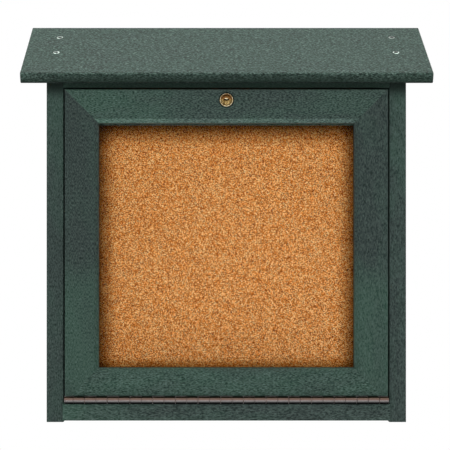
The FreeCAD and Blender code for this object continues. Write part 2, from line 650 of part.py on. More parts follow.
def make_hinge_leaf(name, first, count, has_ends, x, turn, tools):
    # The leaf's own frame is on the hinge axis, with the leaf below and behind it.
    body = new_body(name + "_blank")
    low = "-Places.knuckle_radius"
    high = "-Places.knuckle_bore"
    behind = "Places.knuckle_radius + Sizes.leaf_relief"
    plate = new_sketch(body, "YZ_Plane")
    draw_rectangle(plate, behind, low, "Sizes.leaf_reach", high)
    pad(body, plate, "Places.hinge_length", both_ways=True)
    half_gap = "Sizes.knuckle_gap / 2"
    start = "(" + first + " - 0.5) * Sizes.knuckle_pitch + " + half_gap
    length = "Sizes.knuckle_pitch - Sizes.knuckle_gap"
    knuckle = make_knuckle(body, start, length, low, high, behind)
    row = body.newObject("PartDesign::LinearPattern", body.Name + "_knuckles")
    row.Originals = knuckle
    row.Direction = (origin_feature(body, "X_Axis"), [""])
    row.Mode = "Spacing"
    row.setExpression("Offset", "2 * Sizes.knuckle_pitch")
    row.setExpression("Occurrences", count)
    body.Tip = row
    if has_ends:
        inside = "(Places.end_index - 0.5) * Sizes.knuckle_pitch + " + half_gap
        short = "Places.hinge_length / 2 - (" + inside + ")"
        make_knuckle(body, inside, short, low, high, behind)
        make_knuckle(body, "-Places.hinge_length / 2", short, low, high, behind)
    seat(body, x, "Places.axis_y", "Places.axis_z", turn)
    cut_with(name, body, tools)


def make_knuckle(body, start, length, low, high, behind):
    # A rolled knuckle and the tongue that joins it to the plate, both padded along the axis.
    tube = new_sketch(body, "YZ_Plane", ("0", "0", start))
    draw_circle(tube, "0", "0", "Places.knuckle_radius")
    draw_circle(tube, "0", "0", "Places.knuckle_bore")
    tongue = new_sketch(body, "YZ_Plane", ("0", "0", start))
    draw_rectangle(tongue, "0", low, behind + " + Sizes.leaf_relief", high)
    return [pad(body, tongue, length), pad(body, tube, length)]


def make_hinge_pin():
    body = new_body("hinge_pin")
    sketch = new_sketch(body, "YZ_Plane")
    draw_circle(sketch, "0", "0", "Sizes.pin_diameter / 2")
    pad(body, sketch, "Places.hinge_length", both_ways=True)
    seat(body, "0", "Places.axis_y", "Places.axis_z")
    keep("hinge_pin", body)


# Lock. Its pieces share a frame at the lock's axis on the door's face, with +Z to the front.

def seat_on_lock(piece):
    seat(piece, "0", "Places.door_face", "Places.lock_z", Z_TO_FRONT)


def make_lock_body():
    body = new_body("lock_body")
    section = new_sketch(body, "XZ_Plane")
    bore = "Sizes.plug_radius + Sizes.plug_clearance"
    counterbore = "Sizes.plug_head_radius + Sizes.plug_clearance"
    floor = "Sizes.bezel_proud - Sizes.plug_head_depth - Sizes.plug_floor_gap"
    profile = [(bore, "-Places.barrel_end"), ("Sizes.barrel_radius", "-Places.barrel_end")]
    profile += [("Sizes.barrel_radius", "0"), ("Places.bezel_radius", "0")]
    profile += [("Places.bezel_radius", "Sizes.bezel_proud"), (counterbore, "Sizes.bezel_proud")]
    profile += [(counterbore, floor), (bore, floor)]
    draw_polygon(section, profile)
    revolve(body, section)
    doc.recompute()
    rim = float(body.evalExpression("Places.bezel_radius"))
    proud = float(body.evalExpression("Sizes.bezel_proud"))

    def is_rim(edge):
        box = edge.BoundBox
        return abs(box.ZMin - proud) < NEAR and abs(box.ZMax - proud) < NEAR and box.XMax > rim - NEAR

    round_edges(body, "Sizes.bezel_round", is_rim)
    seat_on_lock(body)
    keep("lock_body", body)


def barrel_drill():
    # The lock's round hole through the top rail.
    body = new_body("lock_hole_drill")
    sketch = new_sketch(body, "XY_Plane")
    draw_circle(sketch, "0", "0", "Sizes.barrel_radius + Sizes.screw_clearance")
    pad(body, sketch, "Sizes.door_thickness", backwards=True)
    seat_on_lock(body)
    return body


def make_lock_washer():
    body = new_body("lock_washer")
    sketch = new_sketch(body, "XY_Plane", ("0", "0", "-Sizes.door_thickness"))
    draw_circle(sketch, "0", "0", "Places.washer_radius")
    draw_circle(sketch, "0", "0", "Sizes.barrel_radius + Sizes.screw_clearance")
    pad(body, sketch, "Sizes.washer_gauge", backwards=True)
    seat_on_lock(body)
    keep("lock_washer", body)


def make_lock_nut():
    body = new_body("lock_nut")
    sketch = new_sketch(body, "XY_Plane", ("0", "0", "-Sizes.door_thickness - Sizes.washer_gauge"))
    corners = []
    for number in range(6):
        angle = str(60 * number)
        corner = "Places.nut_across / sqrt(3) * "
        corners.append((corner + "cos(" + angle + ")", corner + "sin(" + angle + ")"))
    draw_polygon(sketch, corners)
    draw_circle(sketch, "0", "0", "Sizes.barrel_radius + Sizes.screw_clearance")
    pad(body, sketch, "Sizes.nut_thickness", backwards=True)
    seat_on_lock(body)
    keep("lock_nut", body)


def make_lock_plug():
    # Head, shaft, square end for the cam and tapped hole for its screw, with the key slot.
    body = new_body("lock_plug")
    section = new_sketch(body, "XZ_Plane")
    under_head = "Sizes.bezel_proud - Sizes.plug_head_depth"
    shaft_end = "-Places.barrel_end - Sizes.plug_floor_gap"
    profile = [("0", shaft_end), ("Sizes.plug_radius", shaft_end), ("Sizes.plug_radius", under_head)]
    profile += [("Sizes.plug_head_radius", under_head), ("Sizes.plug_head_radius", "Sizes.bezel_proud")]
    crown_edge = "Sizes.plug_head_radius - Sizes.plug_crown"
    profile += [(crown_edge, "Sizes.bezel_proud + Sizes.plug_crown / 2")]
    profile += [("0", "Sizes.bezel_proud + Sizes.plug_crown")]
    draw_polygon(section, profile)
    revolve(body, section)
    tenon = new_sketch(body, "XY_Plane", ("0", "0", shaft_end))
    half = "Sizes.tenon / 2"
    draw_rectangle(tenon, "-" + half, "-" + half, half, half)
    pad(body, tenon, "Sizes.cam_thickness", backwards=True)
    key = new_sketch(body, "XY_Plane", ("0", "0", "Sizes.bezel_proud + Sizes.plug_crown"))
    draw_rectangle(key, "-Sizes.key_slot_length / 2", "-Sizes.key_slot_width / 2",
                   "Sizes.key_slot_length / 2", "Sizes.key_slot_width / 2")
    pocket(body, key, "Sizes.key_slot_depth")
    tapped = new_sketch(body, "XY_Plane", ("0", "0", shaft_end + " - Sizes.cam_thickness"))
    draw_circle(tapped, "0", "0", "Sizes.cam_screw_radius + Sizes.plug_clearance")
    pocket(body, tapped, "Sizes.cam_screw_length + Sizes.cam_thickness", backwards=True)
    seat_on_lock(body)
    keep("lock_plug", body)


def make_lock_cam():
    # At rest the arm points to the right, clear of the strike, and the lock is open.
    body = new_body("lock_cam")
    front = ("0", "0", "-Places.cam_front")
    hub = new_sketch(body, "XY_Plane", front)
    draw_circle(hub, "0", "0", "Sizes.cam_hub_radius")
    pad(body, hub, "Sizes.cam_thickness", backwards=True)
    arm = new_sketch(body, "XY_Plane", front)
    draw_rectangle(arm, "0", "-Sizes.cam_half_width", "Sizes.cam_reach", "Sizes.cam_half_width")
    pad(body, arm, "Sizes.cam_thickness", backwards=True)
    hole = new_sketch(body, "XY_Plane", front)
    half = "(Sizes.tenon / 2 + Sizes.tenon_clearance)"
    draw_rectangle(hole, "-" + half, "-" + half, half, half)
    pocket(body, hole, "Sizes.cam_thickness")
    doc.recompute()
    tip = float(body.evalExpression("Sizes.cam_reach"))
    round_edges(body, "Sizes.cam_tip_round",
                lambda edge: runs_along(edge, Z_WAY) and edge.CenterOfMass.x > tip - NEAR)
    seat_on_lock(body)
    keep("lock_cam", body)


def make_cam_screw():
    body = new_body("cam_screw")
    section = new_sketch(body, "XZ_Plane")
    seat_plane = "-Places.cam_front - Sizes.cam_thickness - Sizes.plug_floor_gap"
    head_end = seat_plane + " - Sizes.cam_screw_head_height"
    profile = [("0", head_end), ("Sizes.cam_screw_head / 2", head_end)]
    profile += [("Sizes.cam_screw_head / 2", seat_plane), ("Sizes.cam_screw_radius", seat_plane)]
    profile += [("Sizes.cam_screw_radius", seat_plane + " + Sizes.cam_screw_length")]
    profile += [("0", seat_plane + " + Sizes.cam_screw_length")]
    draw_polygon(section, profile)
    revolve(body, section)
    slot = new_sketch(body, "XY_Plane", ("0", "0", head_end))
    half_width = "Sizes.key_slot_width / 2"
    draw_rectangle(slot, "-Sizes.cam_screw_head", "-" + half_width, "Sizes.cam_screw_head", half_width)
    pocket(body, slot, "Sizes.cam_screw_head_height / 2", backwards=True)
    seat_on_lock(body)
    keep("cam_screw", body)


# Screws

def large_screws(name, arrange, at, length):
    return screw_set(name, arrange, at, "Sizes.large_head", "Sizes.large_shank", length)


def small_screws(name, arrange, at, length="Sizes.short_screw_length"):
    return screw_set(name, arrange, at, "Sizes.small_head", "Sizes.small_shank", length)


def make_roof_screws():
    def arrange(body):
        repeat(body, "Y_Axis", "Sizes.roof_screw_pitch", "2")
        mirror(body, "YZ_Plane")
        seat_on_roof(body)
    at = ("Places.inner_half + Sizes.board / 2", "Sizes.roof_screw_inset", "Sizes.roof_thickness")
    return large_screws("roof_screws", arrange, at, "Sizes.roof_screw_length")


def make_board_screws(name, height, front, pitch):
    # Two screws through each side board into the end of a cross board.
    def arrange(body):
        repeat(body, "Y_Axis", pitch, "2")
        mirror(body, "XY_Plane")
        seat(body, "0", front + " + Sizes.board_screw_inset", "Places.feet + " + height, Z_TO_RIGHT)
    at = ("0", "0", "Sizes.case_width / 2")
    return large_screws(name, arrange, at, "Sizes.case_screw_length")


def make_rail_screws():
    # One screw through each side board into each end of the two hanging rails.
    def arrange(body):
        repeat(body, "X_Axis", "Places.hole_rise", "2")
        mirror(body, "XY_Plane")
        seat(body, "0", "-Sizes.board / 2", "Places.feet + Places.upper_hole", Z_TO_RIGHT)
    at = ("0", "0", "Sizes.case_width / 2")
    return large_screws("hanging_rail_screws", arrange, at, "Sizes.case_screw_length")


def make_corner_screws():
    def arrange(body):
        rise = "Places.door_top - Places.door_bottom - 2 * Sizes.corner_screw_inset"
        repeat(body, "X_Axis", rise, "2")
        mirror(body, "XY_Plane")
        seat(body, "0", "Places.door_face + Sizes.door_thickness / 2",
             "Places.feet + Places.door_top - Sizes.corner_screw_inset", Z_TO_RIGHT)
    at = ("0", "0", "Places.door_half")
    return large_screws("door_corner_screws", arrange, at, "Sizes.case_screw_length")


def make_stop_screws():
    # Three screws through each door stop into the side board beside it.
    def arrange(body):
        spread = "(Places.header - Places.board_top) / 2 - Sizes.stop_screw_inset"
        repeat(body, "X_Axis", spread, "3")
        mirror(body, "XY_Plane")
        seat(body, "0", "Places.stop_face + Sizes.stop_thickness / 2",
             "Places.feet + Places.board_top + Sizes.stop_screw_inset", Z_TO_LEFT)
    at = ("0", "0", "-Places.stop_inner")
    return small_screws("door_stop_screws", arrange, at, "Sizes.stop_screw_length")


def make_panel_screws():
    # Three screws through the back panel into each hanging rail, under the cork.
    def arrange(body):
        repeat(body, "X_Axis", "Sizes.panel_screw_pitch", "3")
        repeat(body, "Y_Axis", "Places.hole_rise", "2")
        seat(body, "-Sizes.panel_screw_pitch", "Places.panel_face", "Places.feet + Places.lower_hole",
             Z_TO_FRONT)
    return small_screws("back_panel_screws", arrange, ("0", "0", "0"), "Sizes.panel_screw_length")


def make_leaf_screws(name, turn):
    # The heads are flush in the faces of the leaves that look at each other.
    def arrange(body):
        count = "2 * Places.screws_each_side + 1"
        repeat(body, "X_Axis", "Sizes.hinge_screw_pitch", count)
        seat(body, "0", "Places.axis_y + Sizes.hinge_screw_reach", "Places.axis_z", turn)
    first = "-Places.screws_each_side * Sizes.hinge_screw_pitch"
    return small_screws(name, arrange, (first, "0", "-Places.knuckle_bore"))


def make_strip_rail_screws():
    # Three screws in the top window strip and three in the bottom one.
    def arrange(body):
        repeat(body, "X_Axis", "Sizes.strip_screw_pitch", "3")
        repeat(body, "Y_Axis", "Sizes.opening_height + 2 * Sizes.strip_screw_reach", "2")
        seat(body, "-Sizes.strip_screw_pitch", "Places.strip_back",
             "Places.feet + Places.opening_top + Sizes.strip_screw_reach", Z_TO_BACK)
    return small_screws("window_strip_rail_screws", arrange, ("0", "0", "0"))


def make_strip_stile_screws():
    # Three screws in each window strip at the sides.
    def arrange(body):
        repeat(body, "Y_Axis", "Sizes.strip_screw_pitch", "3")
        mirror(body, "YZ_Plane")
        middle = "Places.feet + (Places.opening_bottom + Places.opening_top) / 2"
        seat(body, "0", "Places.strip_back", middle + " + Sizes.strip_screw_pitch", Z_TO_BACK)
    at = ("Places.opening_width / 2 + Sizes.strip_screw_reach", "0", "0")
    return small_screws("window_strip_stile_screws", arrange, at)


def make_strike_screws():
    def arrange(body):
        repeat(body, "X_Axis", "2 * Sizes.strike_screw_half_pitch", "2")
        seat(body, "Places.slot_middle - Sizes.strike_screw_half_pitch", "Places.cam_middle",
             "Places.feet + Places.header", HALF_TURN_ABOUT_X)
    return small_screws("strike_screws", arrange, ("0", "0", "0"))


# Assembly and export

def build():
    set_sizes()
    doc.recompute()
    set_places()
    doc.recompute()

    roof_drill = make_roof_screws()
    bottom_drill = make_board_screws("bottom_board_screws", "Sizes.bottom_raise + Sizes.board / 2",
                                     "Places.door_face", "Sizes.bottom_screw_pitch")
    top_drill = make_board_screws("top_board_screws", "Places.header + Sizes.board / 2",
                                  "-Sizes.case_depth", "Sizes.top_screw_pitch")
    rail_drill = make_rail_screws()
    stop_drill = make_stop_screws()
    panel_drill = make_panel_screws()
    strike_drill = make_strike_screws()
    fixed_leaf_drill = make_leaf_screws("hinge_fixed_screws", UPRIGHT)
    door_leaf_drill = make_leaf_screws("hinge_door_screws", HALF_TURN_ABOUT_Y)
    corner_drill = make_corner_screws()
    strip_rail_drill = make_strip_rail_screws()
    strip_stile_drill = make_strip_stile_screws()
    wall_drill = wall_holes("wall_hole_drill", "Sizes.wall_hole_radius", "-Places.panel_face",
                            "Places.panel_face")
    head_drill = wall_holes("wall_head_drill", "Sizes.wall_head_radius", "Sizes.cork_thickness",
                            "Places.cork_face")
    lock_drill = barrel_drill()

    side_tools = [roof_drill, bottom_drill, top_drill, rail_drill, stop_drill]
    make_side_board("left_side_board", "-Sizes.case_width / 2", side_tools)
    make_side_board("right_side_board", "Places.inner_half", side_tools)
    make_bottom_board([bottom_drill, fixed_leaf_drill])
    make_top_board([top_drill, strike_drill])
    make_hanging_rail("lower_hanging_rail", "Places.lower_hole", [rail_drill, panel_drill, wall_drill])
    make_hanging_rail("upper_hanging_rail", "Places.upper_hole", [rail_drill, panel_drill, wall_drill])
    make_back_panel([panel_drill, wall_drill])
    make_cork_sheet([head_drill])
    make_door_stop("left_door_stop", "-Places.inner_half", [stop_drill])
    make_door_stop("right_door_stop", "Places.stop_inner", [stop_drill])
    stop_middle = "(Places.stop_inner + Sizes.stop_width / 2)"
    make_seal_strip("left_seal_strip", "-" + stop_middle)
    make_seal_strip("right_seal_strip", stop_middle)
    make_roof_board([roof_drill])
    make_strike_plate([strike_drill])

    make_door_frame(corner_drill, [strip_rail_drill, lock_drill], strip_stile_drill,
                    [strip_rail_drill, door_leaf_drill])
    make_window_sheet()
    make_window_strips(strip_rail_drill, strip_stile_drill)

    make_hinge_leaf("hinge_fixed_leaf", "(2 - Places.end_index)", "Places.end_index - 1", True,
                    "0", UPRIGHT, [fixed_leaf_drill])
    make_hinge_leaf("hinge_door_leaf", "(1 - Places.end_index)", "Places.end_index", False,
                    "-Sizes.leaf_play", HALF_TURN_ABOUT_Y, [door_leaf_drill])
    make_hinge_pin()

    make_lock_body()
    make_lock_washer()
    make_lock_nut()
    make_lock_plug()
    make_lock_cam()
    make_cam_screw()
    doc.recompute()


def check():
    for item in doc.Objects:
        if "Invalid" in item.State or "Error" in item.State:
            raise ValueError("failed object " + item.Name)
    for name, piece in sub_parts.items():
        shape = piece.Shape
        if shape.isNull() or not shape.isValid() or not shape.Solids:
            raise ValueError("bad shape in " + name)


def export():
    os.makedirs("parts", exist_ok=True)
    for name, piece in sub_parts.items():
        piece.Shape.exportStep("parts/" + name + ".step")
        box = piece.Shape.BoundBox
        print(name, len(piece.Shape.Solids), "solids", round(piece.Shape.Volume / 1000, 2), "cm3",
              [round(value, 2) for value in (box.XMin, box.YMin, box.ZMin, box.XMax, box.YMax, box.ZMax)])


build()
check()
export()
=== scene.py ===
import json
import math
from collections import namedtuple

import bmesh
import bpy
from mathutils import Matrix, Vector


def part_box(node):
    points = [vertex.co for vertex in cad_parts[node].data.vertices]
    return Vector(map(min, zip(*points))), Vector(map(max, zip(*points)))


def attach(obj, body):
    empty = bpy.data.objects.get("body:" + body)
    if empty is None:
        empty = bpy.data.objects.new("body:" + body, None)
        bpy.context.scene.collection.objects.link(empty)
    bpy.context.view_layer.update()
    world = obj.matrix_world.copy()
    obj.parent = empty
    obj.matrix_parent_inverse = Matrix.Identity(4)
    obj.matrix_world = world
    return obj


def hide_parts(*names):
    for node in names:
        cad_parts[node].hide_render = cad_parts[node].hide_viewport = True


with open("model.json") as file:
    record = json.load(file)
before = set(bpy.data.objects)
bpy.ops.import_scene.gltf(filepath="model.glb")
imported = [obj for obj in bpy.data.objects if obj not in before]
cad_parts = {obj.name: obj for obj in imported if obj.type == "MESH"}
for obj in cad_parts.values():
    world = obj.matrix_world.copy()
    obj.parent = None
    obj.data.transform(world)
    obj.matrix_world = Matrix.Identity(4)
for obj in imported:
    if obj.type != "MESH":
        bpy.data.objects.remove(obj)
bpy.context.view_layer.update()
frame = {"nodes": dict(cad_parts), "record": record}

# Lockable notice board: green recycled-plastic boards, a cork sheet behind a clear window,
# a continuous hinge along the door's bottom edge and a brass cam lock. Metres throughout,
# apart from the outlines of the lock's two pieces, which are in millimetres.

nodes = frame["nodes"]
scene = bpy.context.scene
MM = 0.001
DOOR_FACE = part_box("door_top_rail")[0].y
LOCK_LOW, LOCK_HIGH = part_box("lock_body")
LOCK_SEAT = Vector(((LOCK_LOW.x + LOCK_HIGH.x) / 2, DOOR_FACE, (LOCK_LOW.z + LOCK_HIGH.z) / 2))
Screw = namedtuple("Screw", "top aim head_radius length")


# Building blocks for node trees

def add_node(tree, kind, **settings):
    node = tree.nodes.new(kind)
    for name, value in settings.items():
        setattr(node, name, value)
    return node


def feed(tree, socket, value):
    """Connects an output to a socket, or sets the socket's own value. None leaves it alone."""
    if isinstance(value, bpy.types.NodeSocket):
        tree.links.new(value, socket)
    elif value is not None:
        socket.default_value = value


def wired_node(tree, kind, inputs=(), output=0, **settings):
    """An output of a new node. Each of inputs is a socket's name or number, and its value."""
    node = add_node(tree, kind, **settings)
    for name, value in inputs:
        feed(tree, node.inputs[name], value)
    return node.outputs[output]


def math_node(tree, operation, first, second=None, third=None, clamp=False):
    values = enumerate((first, second, third))
    return wired_node(tree, "ShaderNodeMath", values, operation=operation, use_clamp=clamp)


def product(tree, *factors):
    result = factors[0]
    for factor in factors[1:]:
        result = math_node(tree, "MULTIPLY", result, factor)
    return result


def vector_math(tree, operation, *values, scale=None, output="Vector"):
    inputs = list(enumerate(values)) + ([] if scale is None else [("Scale", scale)])
    return wired_node(tree, "ShaderNodeVectorMath", inputs, output, operation=operation)


def vector_of(tree, x=0.0, y=0.0, z=0.0):
    return wired_node(tree, "ShaderNodeCombineXYZ", (("X", x), ("Y", y), ("Z", z)))


def split(tree, vector):
    """A vector's parts, as outputs named X, Y and Z."""
    node = add_node(tree, "ShaderNodeSeparateXYZ")
    feed(tree, node.inputs[0], vector)
    return node.outputs


def smooth_step(tree, value, low, high, bottom=0.0, top=1.0, kind="SMOOTHSTEP"):
    """Bottom up to low, top from high on, and a soft curve between them."""
    return wired_node(tree, "ShaderNodeMapRange", (
        ("Value", value), ("From Min", low), ("From Max", high), ("To Min", bottom),
        ("To Max", top)), interpolation_type=kind)


def ramp(tree, value, start, end):
    """0 up to start, 1 from end on and straight between."""
    return smooth_step(tree, value, start, end, kind="LINEAR")


def mix_colours(tree, share, first, second, blend="MIX"):
    node = add_node(tree, "ShaderNodeMix", data_type="RGBA", blend_type=blend)
    colours = [socket for socket in node.inputs if socket.type == "RGBA"]
    feed(tree, node.inputs["Factor"], share)
    feed(tree, colours[0], first)
    feed(tree, colours[1], second)
    return next(socket for socket in node.outputs if socket.type == "RGBA")


def place_pattern(tree, offset=(0, 0, 0), turn=(0, 0, 0), scale=(1, 1, 1)):
    """Object coordinates, moved, turned and stretched."""
    where = add_node(tree, "ShaderNodeTexCoord").outputs["Object"]
    return wired_node(tree, "ShaderNodeMapping", (
        ("Vector", where), ("Location", offset), ("Rotation", turn), ("Scale", scale)))


def noise(tree, vector, scale, detail=2.0, roughness=0.5, output="Fac"):
    return wired_node(tree, "ShaderNodeTexNoise", (
        ("Vector", vector), ("Scale", scale), ("Detail", detail), ("Roughness", roughness)), output)


def cells(tree, vector, scale):
    """Rounded cells side by side, as outputs: each one's Color, and the Distance from its middle."""
    node = add_node(tree, "ShaderNodeTexVoronoi", feature="F1")
    feed(tree, node.inputs["Vector"], vector)
    feed(tree, node.inputs["Scale"], scale)
    return node.outputs


def colour_ramp(tree, share, stops):
    node = add_node(tree, "ShaderNodeValToRGB")
    bands = node.color_ramp
    while len(bands.elements) < len(stops):
        bands.elements.new(1.0)
    for element, (place, colour) in zip(bands.elements, stops):
        element.position = place
        element.color = colour
    feed(tree, node.inputs["Fac"], share)
    return node.outputs["Color"]


def bump(tree, height, distance, strength, below=None):
    """A normal for relief of the given depth, on top of the relief below if there is one."""
    return wired_node(tree, "ShaderNodeBump", (
        ("Strength", strength), ("Distance", distance), ("Height", height), ("Normal", below)))


def new_material(name):
    material = bpy.data.materials.new(name)
    material.use_nodes = True
    tree = material.node_tree
    shader = tree.nodes["Principled BSDF"]
    return material, tree, shader


def set_surface(tree, shader, values):
    for name, value in values.items():
        feed(tree, shader.inputs[name], value)


def mix_in(tree, share, shader, other):
    """Lets another shader take the given share of a material's surface."""
    mixed = wired_node(tree, "ShaderNodeMixShader", (
        (0, share), (1, shader.outputs[0]), (2, other.outputs[0])))
    output = next(node for node in tree.nodes if node.type == "OUTPUT_MATERIAL")
    feed(tree, output.inputs["Surface"], mixed)


def srgb(red, green, blue):
    """A colour given as it is seen on a screen, 0 to 255, as the linear one that nodes take."""
    def linear(value):
        value /= 255
        return value / 12.92 if value <= 0.04045 else ((value + 0.055) / 1.055) ** 2.4
    return linear(red), linear(green), linear(blue), 1.0


# Materials

LUMBER_GREY = srgb(55, 66, 63)
LUMBER_GREEN = srgb(61, 82, 73)
LUMBER_DARKEST = (0.014, 0.021, 0.018)
FLECK_TINT = (0.76, 1.0, 0.90)


def mix_tone(tree, share, tone):
    """1 where share is 0 and the tone where it is 1."""
    less = math_node(tree, "SUBTRACT", tone, 1.0)
    return math_node(tree, "MULTIPLY_ADD", less, share, 1.0)


def object_normal(tree):
    return add_node(tree, "ShaderNodeTexCoord").outputs["Normal"]


def facing(tree, direction):
    """1 where a face looks the given way, 0 elsewhere."""
    least, full = 0.80, 0.92
    towards = Vector(direction).normalized()
    alike = vector_math(tree, "DOT_PRODUCT", object_normal(tree), towards, output="Value")
    return smooth_step(tree, alike, least, full)


def lumber(board, grain, greens, shade=1.0, depth=1.0, faces=(), painted_shade=(), shade_rings=()):
    """Green recycled plastic, drawn out along its grain. The ground is from grey-green, 0, to
    green, 1: greens gives two such values and the two places along the board that they hold at,
    as shares of its length. shade is how bright the ground is, and depth how strong the pale and
    dark fibres and flecks on it are. The last three paint light and shade. A pair in faces gives
    a direction and how much lighter such a face is painted. An entry in the next gives a
    direction, an axis and two places along it, each with the share of light that such a face
    keeps there, as painted shade. A triple in the last is a middle and two radii, between which
    shade is painted round a piece let into the board."""
    material, tree, shader = new_material(board + "_lumber")
    axis = "XYZ".index(grain)
    low, high = (corner[axis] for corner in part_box(board))
    step_between_boards, drawn_out, drawn_in = 0.37, 0.42, 1.2
    own_place = step_between_boards * len(bpy.data.materials)
    stretch = [drawn_in if grain == "X" else 1.0] * 3
    stretch[axis] = drawn_out
    spot = place_pattern(tree, (own_place, -own_place, 0.7 * own_place), scale=stretch)
    fibres = noise(tree, spot, scale=880, detail=1.0, roughness=0.6)
    flecks = noise(tree, spot, scale=300, roughness=0.55)
    clouds = noise(tree, spot, scale=42)
    specks = noise(tree, spot, scale=2600, roughness=0.6)

    where = split(tree, place_pattern(tree))
    first_green, last_green, *places = greens
    start, end = (low + (high - low) * share for share in places)
    along = smooth_step(tree, where[axis], start, end, first_green, last_green)
    most_cloudy = 0.24
    cloudy = smooth_step(tree, clouds, 0.3, 0.7, -most_cloudy, most_cloudy)
    greener = math_node(tree, "ADD", along, cloudy, clamp=True)
    ground = mix_colours(tree, greener, LUMBER_GREY, LUMBER_GREEN)

    # Painted shade: a face that looks a given way keeps a share of the light, changing along an axis.
    kept_light = []
    for direction, way, (first, first_share), (last, last_share) in painted_shade:
        share = smooth_step(tree, where[way], first, last, first_share, last_share)
        kept_light.append(mix_tone(tree, facing(tree, direction), share))

    light = 0.0
    for pattern, strength in ((fibres, 0.265), (flecks, 0.025), (specks, 0.10)):
        swing = math_node(tree, "SUBTRACT", pattern, 0.5)
        light = math_node(tree, "MULTIPLY_ADD", swing, strength * depth, light)
    pale = vector_math(tree, "SCALE", FLECK_TINT, scale=product(tree, light, *kept_light))
    flecked = vector_math(tree, "MULTIPLY_ADD", ground, (shade,) * 3, pale)
    flecked = vector_math(tree, "MAXIMUM", flecked, LUMBER_DARKEST)

    # Painted light and shade: faces that look a given way are made lighter or darker.
    tones = [smooth_step(tree, facing(tree, way), 0, 1, 1, lighter) for way, lighter in faces]
    tones += kept_light
    ring_darkest, sawn_dark = 0.22, 0.55
    # Painted shade in a ring round each piece let into the board.
    for middle, inner, outer in shade_rings:
        away = vector_math(tree, "DISTANCE", place_pattern(tree), middle, output="Value")
        tones.append(smooth_step(tree, away, inner, outer, ring_darkest, 1.0))
    board_end = Vector()
    board_end[axis] = 1.0
    sawn = math_node(tree, "ADD", facing(tree, board_end), facing(tree, -board_end))
    across = place_pattern(tree, turn=(0.2, 0.3, 0.1), scale=(1, 0.12, 1))
    marks = noise(tree, across, scale=900, detail=1.0)
    tones.append(smooth_step(tree, product(tree, sawn, marks), 0.0, 0.7, 1.0, sawn_dark))

    relief = bump(tree, flecks, 0.16 * MM, 0.5)
    relief = bump(tree, fibres, 0.14 * MM, 0.6, relief)
    relief = bump(tree, specks, 0.05 * MM, 0.4, relief)
    set_surface(tree, shader, {
        "Base Color": vector_math(tree, "SCALE", flecked, scale=product(tree, *tones)),
        "Roughness": smooth_step(tree, fibres, 0.3, 0.7, 0.55, 0.72),
        "Specular IOR Level": 0.3, "IOR": 1.25, "Normal": relief})
    return material


def cork_painted_shade(tree):
    """Painted shade on the cork near the frame, where the frame's shadow falls: 1 in the middle, less
    outside.
    """
    left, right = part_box("door_left_stile")[1].x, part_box("door_right_stile")[0].x
    low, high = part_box("door_bottom_rail")[1].z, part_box("top_window_strip")[0].z
    spot = place_pattern(tree)
    where = split(tree, spot)
    most_wander, outside = 4 * MM, 13 * MM
    left_dark, right_dark, top_dark, bottom_dark = 0.18, 0.22, 0.02, 0.42
    wander = math_node(tree, "MULTIPLY_ADD", noise(tree, spot, scale=60), 2 * most_wander, -most_wander)
    x = math_node(tree, "ADD", where["X"], wander)
    z = math_node(tree, "ADD", where["Z"], wander)
    return product(
        tree, smooth_step(tree, x, left - outside, left + 22 * MM, left_dark, 1.0),
        smooth_step(tree, x, right - 18 * MM, right + outside, 1.0, right_dark),
        smooth_step(tree, z, high - 26 * MM, high + outside, 1.0, top_dark),
        smooth_step(tree, z, low - 7 * MM, low + 10.5 * MM, bottom_dark, 1.0))


def cork_granules():
    """Pressed cork: granules of mixed browns, each with its own tone, and a few bark specks,
    under painted shade near the frame and a slight painted slope of light across it.
    """
    material, tree, shader = new_material("cork_granules")
    spot = place_pattern(tree)
    unevenness = noise(tree, spot, scale=900, detail=1.0, output="Color")
    granules = cells(tree, vector_math(tree, "MULTIPLY_ADD", unevenness, (0.4 * MM,) * 3, spot), 1390)
    tone = add_node(tree, "ShaderNodeSeparateColor")
    feed(tree, tone.inputs[0], granules["Color"])
    clouds = math_node(tree, "SUBTRACT", noise(tree, spot, scale=90), 0.5)
    mixed = math_node(tree, "MULTIPLY_ADD", clouds, 0.12, tone.outputs[0])
    colour = colour_ramp(tree, mixed, (
        (0.06, srgb(94, 28, 0)), (0.26, srgb(172, 87, 8)), (0.50, srgb(226, 130, 50)),
        (0.74, srgb(255, 176, 96)), (0.95, srgb(255, 220, 160))))
    where = split(tree, spot)
    low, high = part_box("cork_sheet")
    # Painted light: a slight slope in brightness, least at the top left and most at the bottom right.
    light_slope = math_node(tree, "ADD", smooth_step(tree, where["X"], low.x, high.x, 0.0, 0.06),
                       smooth_step(tree, where["Z"], low.z, high.z, 1.0, 0.93))
    border_shade = product(tree, cork_painted_shade(tree), light_slope)

    # The painted shade takes most of the blue and least of the red.
    powers = (0.96, 1.10, 1.55)
    painted_shade = vector_of(tree, *(math_node(tree, "POWER", border_shade, power) for power in powers))
    height = math_node(tree, "SUBTRACT", tone.outputs[1], granules["Distance"])
    set_surface(tree, shader, {
        "Base Color": mix_colours(tree, 1.0, colour, painted_shade, "MULTIPLY"),
        "Roughness": 0.85, "Specular IOR Level": 0.1, "Normal": bump(tree, height, 0.25 * MM, 0.4)})
    return material


def clear_sheet():
    """Polycarbonate: it lets the lamps through to the cork and keeps its gloss."""
    material, tree, shader = new_material("clear_sheet")
    set_surface(tree, shader, {
        "Base Color": (0.96, 0.98, 0.97, 1), "Roughness": 0.0, "IOR": 1.1, "Transmission Weight": 1.0})
    shadow_ray = add_node(tree, "ShaderNodeLightPath").outputs["Is Shadow Ray"]
    mix_in(tree, shadow_ray, shader, add_node(tree, "ShaderNodeBsdfTransparent"))
    return material


